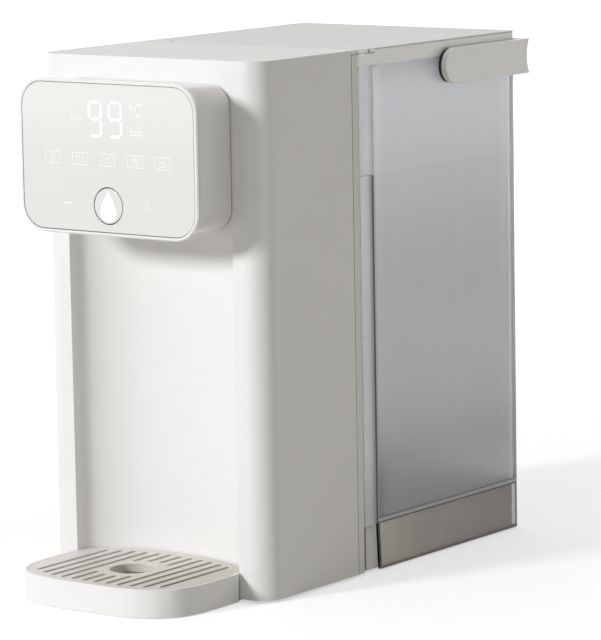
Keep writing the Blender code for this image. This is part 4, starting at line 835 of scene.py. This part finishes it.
# Places on the tank where the wall is seen edge-on, painted darker or brighter there as painted shade and
# painted highlights
skirt_top = plinth_high.z + 0.0004
floor_line = skirt_top + 0.0008
floor_band = floor_line + 0.0020
skirt_rim = tank_low.z + 0.0009
skirt_end = plinth_high.y + 0.0017
hook_line = block_high.y - 0.0023
hook_shade = hook_line - 0.0030
rim_start = hook_line - 0.0005
flange_end = hook_line + 0.0012
soft_shade_end = flange_end + 0.0018
line_half = 0.0002
window_y = plinth_low.y + 0.0008
window_slope = slit_lean / (plinth_high.z - plinth_low.z)
slit_edge = tank_high.x - 0.0010

# Places where the lid, the hinge strip and the tray change surface
lid_edge = lid_high.x - 0.0008
strip_edge = lid_high.x - 0.0010
tray_floor = tray_high.z - 0.0035

tank_surfaces = (smoked, flange_clear, skirt_clear, rim_painted_shade, rim_painted_highlight, line_painted_shade, skirt_corner, foot_painted_shade,
                 slit_rim_painted_shade, soft_painted_shade, flange_shade, slit_window, slit_painted_shadow)
tank_cuts = cuts_across(2, (skirt_rim, skirt_top, floor_line, floor_band, tone_step_line - line_half,
                            tone_step_line + line_half))
tank_cuts += cuts_across(1, (hook_shade, rim_start, hook_line, flange_end, soft_shade_end, skirt_end))
tank_cuts.append(((0, window_y, plinth_high.z), (0, 1, window_slope)))
tank_cuts += cuts_across(0, (-slit_edge, slit_edge))
lean_bend = cuts_across(2, (plinth_high.z,))


def skirt_surface(face):
    """The surface of a face below the plinth's top."""
    middle = face.center
    # The skirt's lowest band gets painted shade, and its faces in front of the plinth painted shadow
    if middle.z < skirt_rim:
        return foot_painted_shade
    if face.normal.y < -0.7 and middle.y < plinth_low.y and abs(middle.x) < slit_edge:
        return slit_painted_shadow
    if middle.y - window_y + window_slope * (middle.z - plinth_high.z) < 0.0:
        return slit_window
    return skirt_corner if middle.y > skirt_end else skirt_clear


def tank_surface(face):
    middle = face.center
    if middle.z < skirt_top:
        return skirt_surface(face)
    below_line = middle.z < tone_step_line
    if middle.y < (rim_start if below_line else hook_line):
        if abs(middle.z - tone_step_line) < line_half:
            return line_painted_shade
        return flange_shade if below_line and middle.y > hook_shade else flange_clear
    if middle.z < floor_line:
        return rim_painted_shade
    if middle.y < flange_end:
        return slit_rim_painted_shade if below_line else line_painted_shade
    if middle.z < floor_band:
        return rim_painted_highlight
    return soft_painted_shade if middle.y < soft_shade_end and below_line else smoked


# The tray's upward faces below tray_floor get the painted shade
def tray_surface(face):
    return tray_shade if face.normal.z > 0.9 and face.center.z < tray_floor else white_tray


def lid_surface(face):
    middle = face.center
    if abs(face.normal.z) > 0.5 or middle.y < hinge_clear:
        return white_lid
    return beige_collar if abs(middle.x) > lid_edge or middle.y > lid_high.y else white_lid


# The hinge strip's side faces get the painted highlight
def strip_surface(face):
    return side_painted_highlight if abs(face.normal.x) > 0.9 and abs(face.center.x) > strip_edge else white_lid


refined("tank_body", "tank", tank_surfaces, 0.0004, 2, pick=tank_surface, cuts=tank_cuts,
        reshape=skirt_leaning)
refined("front_shell", "main_unit", (white_shell,), 0.0005, reshape=deeper)
refined("rear_housing", "main_unit", (rear_painted_light,), 0.0004, reshape=leaning, bends=lean_bend)
refined("head_housing", "main_unit", (white_head,), 0.0004)
refined("touch_glass", "main_unit", (touch_glass,), 0.00025, 2, reshape=round_button)
refined("dispense_button", "dispense_button", (touch_glass,), 0.0002, 2, reshape=round_button)
refined("drip_tray", "drip_tray", (white_tray, tray_shade), 0.0006, pick=tray_surface)
refined("drip_grille", "drip_grille", (grille_painted_shade,), 0.0004, 2, reshape=round_hole)
refined("tank_lid", "tank_lid", (white_lid, beige_collar), 0.0003, 2, pick=lid_surface, reshape=lid_thinner)
refined("hinge_strip", "tank", (white_lid, side_painted_highlight), 0.0003, 2, pick=strip_surface,
        reshape=strip_thinner)
refined("tank_collar", "tank", (beige_collar,), 0.0004, 2, reshape=thinner)
refined("tank_handle", "tank_handle", (white_handle,), 0.0005, reshape=slimmer)
refined("tank_base", "main_unit", (taupe_plinth,), 0.0005, reshape=leaning)


# Dark bands in the open seams as painted shade, and dark washers under the handle's arms that fill the gaps
# there with painted shadow

def outline_at(node, axis, place_m, reshape=None):
    """The largest closed outline in which a plane across one axis cuts a node's finer copy."""
    bm = welded(node, (), reshape)
    found = cut(bm, *cuts_across(axis, (place_m,))[0])
    cut_edges = [e for e in found["geom_cut"] if isinstance(e, bmesh.types.BMEdge)]
    unused = set(cut_edges)
    best, best_reach = [], 0.0
    for first in cut_edges:
        if first not in unused:
            continue
        unused.remove(first)
        chain = list(first.verts)
        while True:
            step = next((e for e in chain[-1].link_edges if e in unused), None)
            if step is None:
                break
            unused.remove(step)
            chain.append(step.other_vert(chain[-1]))
        if chain[0] == chain[-1]:
            chain.pop()
        points = [v.co.copy() for v in chain]
        reach_m = sum((a - b).length for a, b in zip(points, points[1:]))
        if reach_m > best_reach:
            best, best_reach = points, reach_m
    bm.free()
    return best


def trimmed(outline, first_y):
    """The part of a closed outline behind first_y, as an open chain with its ends there."""
    count = len(outline)
    first = next(i for i in range(count) if outline[i - 1].y <= first_y < outline[i].y)
    chain = []
    for k in range(count):
        co = outline[(first + k) % count]
        if co.y <= first_y:
            break
        chain.append(co)
    return [Vector((chain[0].x, first_y, chain[0].z)), *chain, Vector((chain[-1].x, first_y, chain[-1].z))]


shortest_step = 0.0002


def bridged(bm, rings, closed=True):
    """Faces from each ring of vertices to the next, and from the last to the first."""
    count = len(rings[0])
    for k, near in enumerate(rings):
        far = rings[(k + 1) % len(rings)]
        for i in range(count if closed else count - 1):
            j = (i + 1) % count
            bm.faces.new((near[i], near[j], far[j], far[i]))


def seam_band(name, outline, axis, low, high, inset, depth, surface, body, closed=True):
    """Band along an outline, from low to high across it and from inset inwards by depth; capped if open."""
    a, b = [i for i in range(3) if i != axis]
    points = [outline[0]]
    for co in outline[1:]:
        if (co - points[-1]).length > shortest_step:
            points.append(co)
    count = len(points)
    turn = sum(points[i - 1][a] * points[i][b] - points[i][a] * points[i - 1][b] for i in range(count))
    inward = 1.0 if turn > 0 else -1.0
    bm = bmesh.new()
    rings = []
    for off, level in ((inset, low), (inset, high), (inset + depth, high), (inset + depth, low)):
        ring = []
        for i, co in enumerate(points):
            before, after = points[i - 1], points[(i + 1) % count]
            n1 = Vector((-(co[b] - before[b]), co[a] - before[a])).normalized()
            n2 = Vector((-(after[b] - co[b]), after[a] - co[a])).normalized()
            if not closed and i == 0:
                n1 = n2
            if not closed and i == count - 1:
                n2 = n1
            normal = (n1 + n2).normalized() * inward
            spot = Vector((0.0, 0.0, 0.0))
            spot[axis] = level
            spot[a] = co[a] + normal.x * off
            spot[b] = co[b] + normal.y * off
            ring.append(bm.verts.new(spot))
        rings.append(ring)
    bridged(bm, rings, closed)
    if not closed:
        bm.faces.new([ring[0] for ring in rings])
        bm.faces.new([ring[-1] for ring in rings])
    bmesh.ops.recalc_face_normals(bm, faces=bm.faces)
    new_piece(name, bm, surface, body)


# Near-black band of painted shade in the seam between the shell and the rear housing
shell_outline = outline_at("front_shell", 1, seam_y - 0.001, deeper)
seam_band("body_seam_painted_shade", shell_outline, 1, seam_y + 0.00035, seam_y + 0.00155, 0.00002, 0.0010,
          seam_line_painted_shade, "main_unit")
collar_outline = outline_at("tank_collar", 2, collar_high.z - 0.0004, thinner)
lid_outline = trimmed(outline_at("tank_lid", 2, lid_high.z - 0.0009, lid_thinner), hinge_clear + 0.0015)
seam_band("lid_seam_gasket", lid_outline, 2, collar_high.z + 0.00020, collar_high.z + 0.00150, -0.00004,
          0.0008, beige_collar, "tank_lid", False)
# A grey line of painted shade just under the lid's top edge
seam_band("lid_edge_painted_shade", lid_outline, 2, lid_high.z - 0.0010, lid_high.z - 0.00035, -0.00005, 0.0005,
          edge_painted_shade, "tank_lid", False)
seam_band("collar_seam_gasket", collar_outline, 2, collar_foot - 0.0005, collar_foot + 0.0002, 0.00010,
          0.0008, beige_collar, "tank")
# Dark band of painted shade in the seam behind the head
head_outline = outline_at("head_housing", 1, head_back - 0.0012)
seam_band("head_seam_painted_shade", head_outline, 1, head_back - 0.0004, head_back + 0.0004, 0.00028, 0.0012,
          seam_painted_shade, "main_unit")


def strip_box(name, low, high, surface, body, rounding=0.0004, lean=0.0):
    """A bar of painted shade between two corners, with rounded edges, leaned back towards the table by lean.
    """
    bm = bmesh.new()
    bmesh.ops.create_cube(bm, size=1.0)
    for v in bm.verts:
        v.co = Vector([low[i] + (v.co[i] + 0.5) * (high[i] - low[i]) for i in range(3)])
        v.co.y += lean * lean_share(v.co.z)
    bmesh.ops.bevel(bm, geom=bm.edges[:], offset=rounding, segments=2, affect="EDGES", profile=0.5)
    new_piece(name, bm, surface, body)


# The black strips fill the slit between the block and the plinth at both sides with painted shadow. The dark
# beads, painted shade, lie in the corner where the block meets the rear housing's strip, below the tank's
# flange
sides = ((-1, "left"), (1, "right"))
strip_reach = 0.0600
slit_low = block_high.y + 0.0010
slit_high = plinth_low.y + 0.0003
bead_x = plinth_high.x + 0.0002
for side, word in sides:
    inner, outer = sorted((side * strip_reach, side * (plinth_high.x - 0.0002)))
    strip_box(word + "_slit_shadow_strip", (inner, slit_low, plinth_low.z + 0.0004),
              (outer, slit_high, plinth_high.z - 0.0006), slit_painted_shadow, "main_unit", lean=slit_lean)
for side, word in sides:
    inner, outer = sorted((side * (bead_x - 0.0004), side * (bead_x + 0.00025)))
    strip_box(word + "_block_bead_shade", (inner, wall_y - 0.0003, plinth_low.z + 0.0003),
              (outer, wall_y + 0.0048, plinth_high.z - 0.0002), seam_painted_shade, "main_unit", 0.0001)
# Dark bar of painted shade in the seam between the collar and the lid at the hinge strip
strip_box("hinge_strip_seam_shade", (lid_low.x + 0.0003, wall_y + 0.0004, collar_high.z + 0.0001),
          (lid_high.x - 0.0003, strip_front + 0.0010, collar_high.z + 0.0009), seam_painted_shade, "tank", 0.0002)


def glass_gap_shade_material():
    """Painted shade in the glass's gap: darkest at the left and bottom, greyer upwards and pale towards the
    upper right.
    """
    m, tree, bsdf = start("glass_gap_painted_shade")
    left, right = glass_low.x - 0.001, glass_high.x + 0.001
    across = stepped(tree, "X", (
        (left, (0.030, 0.029, 0.028)), (right, (0.78, 0.77, 0.75)),
        (glass_high.x - 0.014, (0.075, 0.072, 0.068))))
    down = spread(tree, along(tree, "Z"), glass_low.z + 0.004, glass_high.z - 0.002, 0.0, 0.75, True)
    tone = blended(tree, down, across, (0.36, 0.355, 0.345))
    paint(tree, bsdf, varied(tree, tone, noise(tree, 700.0, 2.0, 0.5), 0.06))
    bsdf.inputs["Roughness"].default_value = 0.6
    return m


glass_outline = outline_at("touch_glass", 1, (glass_low.y + glass_high.y) / 2.0)
seam_band("glass_gap_painted_shade", glass_outline, 1, glass_low.y + 0.00022, glass_low.y + 0.0009, -0.00042,
          0.00032, glass_gap_shade_material(), "main_unit")

# Dark washers fill the gaps between the tank and the handle's arms, painted shadow in those gaps
pivot = (pin_low + pin_high) / 2.0
washer_bore = 0.0058
washer_rim = 0.0099
washer_inside = 0.0001
washer_outside = 0.0021
washer_chamfer = 0.0003
washer_profile = (
    (washer_bore, washer_inside), (washer_rim - washer_chamfer, washer_inside),
    (washer_rim, washer_inside + washer_chamfer), (washer_rim, washer_outside - washer_chamfer),
    (washer_rim - washer_chamfer, washer_outside), (washer_bore, washer_outside))
for side, word in sides:
    bm = bmesh.new()
    rings = []
    for radius, out in washer_profile:
        circle = ring_points(pivot.y, pivot.z, radius, radius, count=72)
        rings.append([bm.verts.new((side * (tank_high.x + out), y, z)) for y, z in circle])
    bridged(bm, rings)
    bmesh.ops.recalc_face_normals(bm, faces=bm.faces)
    washer = new_piece(word + "_handle_gap_shade", bm, rubber, "tank")
    washer.data.shade_smooth()
    washer.data.set_sharp_from_angle(angle=sharp_angle)


# Studio: pale floor, one soft lamp and an even surround

def combined(tree, operation, first, second):
    n = tree.nodes.new("ShaderNodeMath")
    n.operation = operation
    tree.links.new(first, n.inputs[0])
    tree.links.new(second, n.inputs[1])
    return n.outputs[0]


def white_rays(tree):
    """1 for the rays that show the white surround: seen directly, mirrored, or through clear plastic."""
    path = tree.nodes.new("ShaderNodeLightPath")
    found = path.outputs["Is Camera Ray"]
    for kind in ("Is Glossy Ray", "Is Transmission Ray"):
        found = combined(tree, "MAXIMUM", found, path.outputs[kind])
    return found


def floor_material():
    """Pale floor that glows for the white rays, more so away from the object."""
    m, tree, bsdf = start("pale_floor")
    fleck = noise(tree, 30.0, 3.0, 0.5)
    paint(tree, bsdf, blended(tree, fleck, (0.605, 0.590, 0.545), (0.615, 0.600, 0.555)))
    bsdf.inputs["Roughness"].default_value = 0.9
    bsdf.inputs["Emission Color"].default_value = (0.95, 0.955, 1.0, 1.0)
    seen = white_rays(tree)
    distance = tree.nodes.new("ShaderNodeVectorMath")
    distance.operation = "LENGTH"
    tree.links.new(place(tree), distance.inputs[0])
    near, far, near_glow, far_glow = 0.35, 1.6, 0.545, 0.90
    glow = spread(tree, distance.outputs["Value"], near, far, near_glow, far_glow, True)
    tree.links.new(combined(tree, "MULTIPLY", seen, glow), bsdf.inputs["Emission Strength"])
    return m


floor_reach = 12.0
floor_gap = 0.00005
floor_mesh = bpy.data.meshes.new("floor")
corners = [(x * floor_reach, y * floor_reach, 0) for x, y in ((-1, -1), (1, -1), (1, 1), (-1, 1))]
floor_mesh.from_pydata(corners, [], [(0, 1, 2, 3)])
floor_mesh.materials.append(floor_material())
floor = bpy.data.objects.new("floor", floor_mesh)
floor.location.z = cad_box[0][2] - floor_gap
scene.collection.objects.link(floor)

world = bpy.data.worlds.new("studio")
scene.world = world
world.use_nodes = True
tree = world.node_tree
tree.nodes.clear()
out = tree.nodes.new("ShaderNodeOutputWorld")
ambient = tree.nodes.new("ShaderNodeBackground")
direction = tree.nodes.new("ShaderNodeTexCoord")
parts_of = tree.nodes.new("ShaderNodeSeparateXYZ")
tree.links.new(direction.outputs["Generated"], parts_of.inputs["Vector"])
overhead = spread(tree, parts_of.outputs["Z"], 0.4, 1.0, 0.0, 0.60, True)
rearward = spread(tree, parts_of.outputs["Y"], -1.0, 1.0, 0.05, 0.46)
tree.links.new(combined(tree, "ADD", overhead, rearward), ambient.inputs["Strength"])
height = spread(tree, parts_of.outputs["Z"], 0.3, 0.9, 0.0, 1.0, True)
tree.links.new(blended(tree, height, (1.0, 0.95, 0.85), (0.985, 0.99, 1.0)), ambient.inputs["Color"])
backdrop = add(tree, "ShaderNodeBackground", Strength=1.0, Color=(1.0, 1.0, 1.0, 1.0))
mix = tree.nodes.new("ShaderNodeMixShader")
tree.links.new(white_rays(tree), mix.inputs[0])
tree.links.new(ambient.outputs[0], mix.inputs[1])
tree.links.new(backdrop.outputs[0], mix.inputs[2])
tree.links.new(mix.outputs[0], out.inputs["Surface"])

lamp_aim = Vector((0.0, 0.02, 0.15))
lamp_distance = 6.0
towards = Vector((-0.36, -1.0, 0.345)).normalized()
lamp_data = bpy.data.lights.new("key_softbox", "AREA")
lamp_data.shape = "DISK"
lamp_data.size = 1.05
lamp_data.energy = 272.0
lamp_data.color = (0.905, 0.925, 0.965)
lamp = bpy.data.objects.new("key_softbox", lamp_data)
lamp.location = lamp_aim + towards * lamp_distance
lamp.rotation_euler = towards.to_track_quat("Z", "Y").to_euler()
scene.collection.objects.link(lamp)

# The camera as fitted to the photograph: its focal length, its axes and its place
camera_data = bpy.data.cameras.new("photo_camera")
camera_data.lens = 213.84
camera_data.sensor_width = 36.0
camera_data.sensor_fit = "AUTO"
camera_data.clip_end = 100.0
camera = bpy.data.objects.new("photo_camera", camera_data)
right = Vector((0.8035834, 0.5949399, -0.0173275))
up = Vector((-0.0747064, 0.1297023, 0.9887347))
back = Vector((0.5904852, -0.7932363, 0.1486724))
at = Vector((1.318267, -1.727427, 0.467152))
camera.matrix_world = Matrix((
    (right.x, up.x, back.x, at.x),
    (right.y, up.y, back.y, at.y),
    (right.z, up.z, back.z, at.z),
    (0.0, 0.0, 0.0, 1.0),
))
scene.collection.objects.link(camera)
scene.camera = camera
scene.view_settings.view_transform = "Standard"
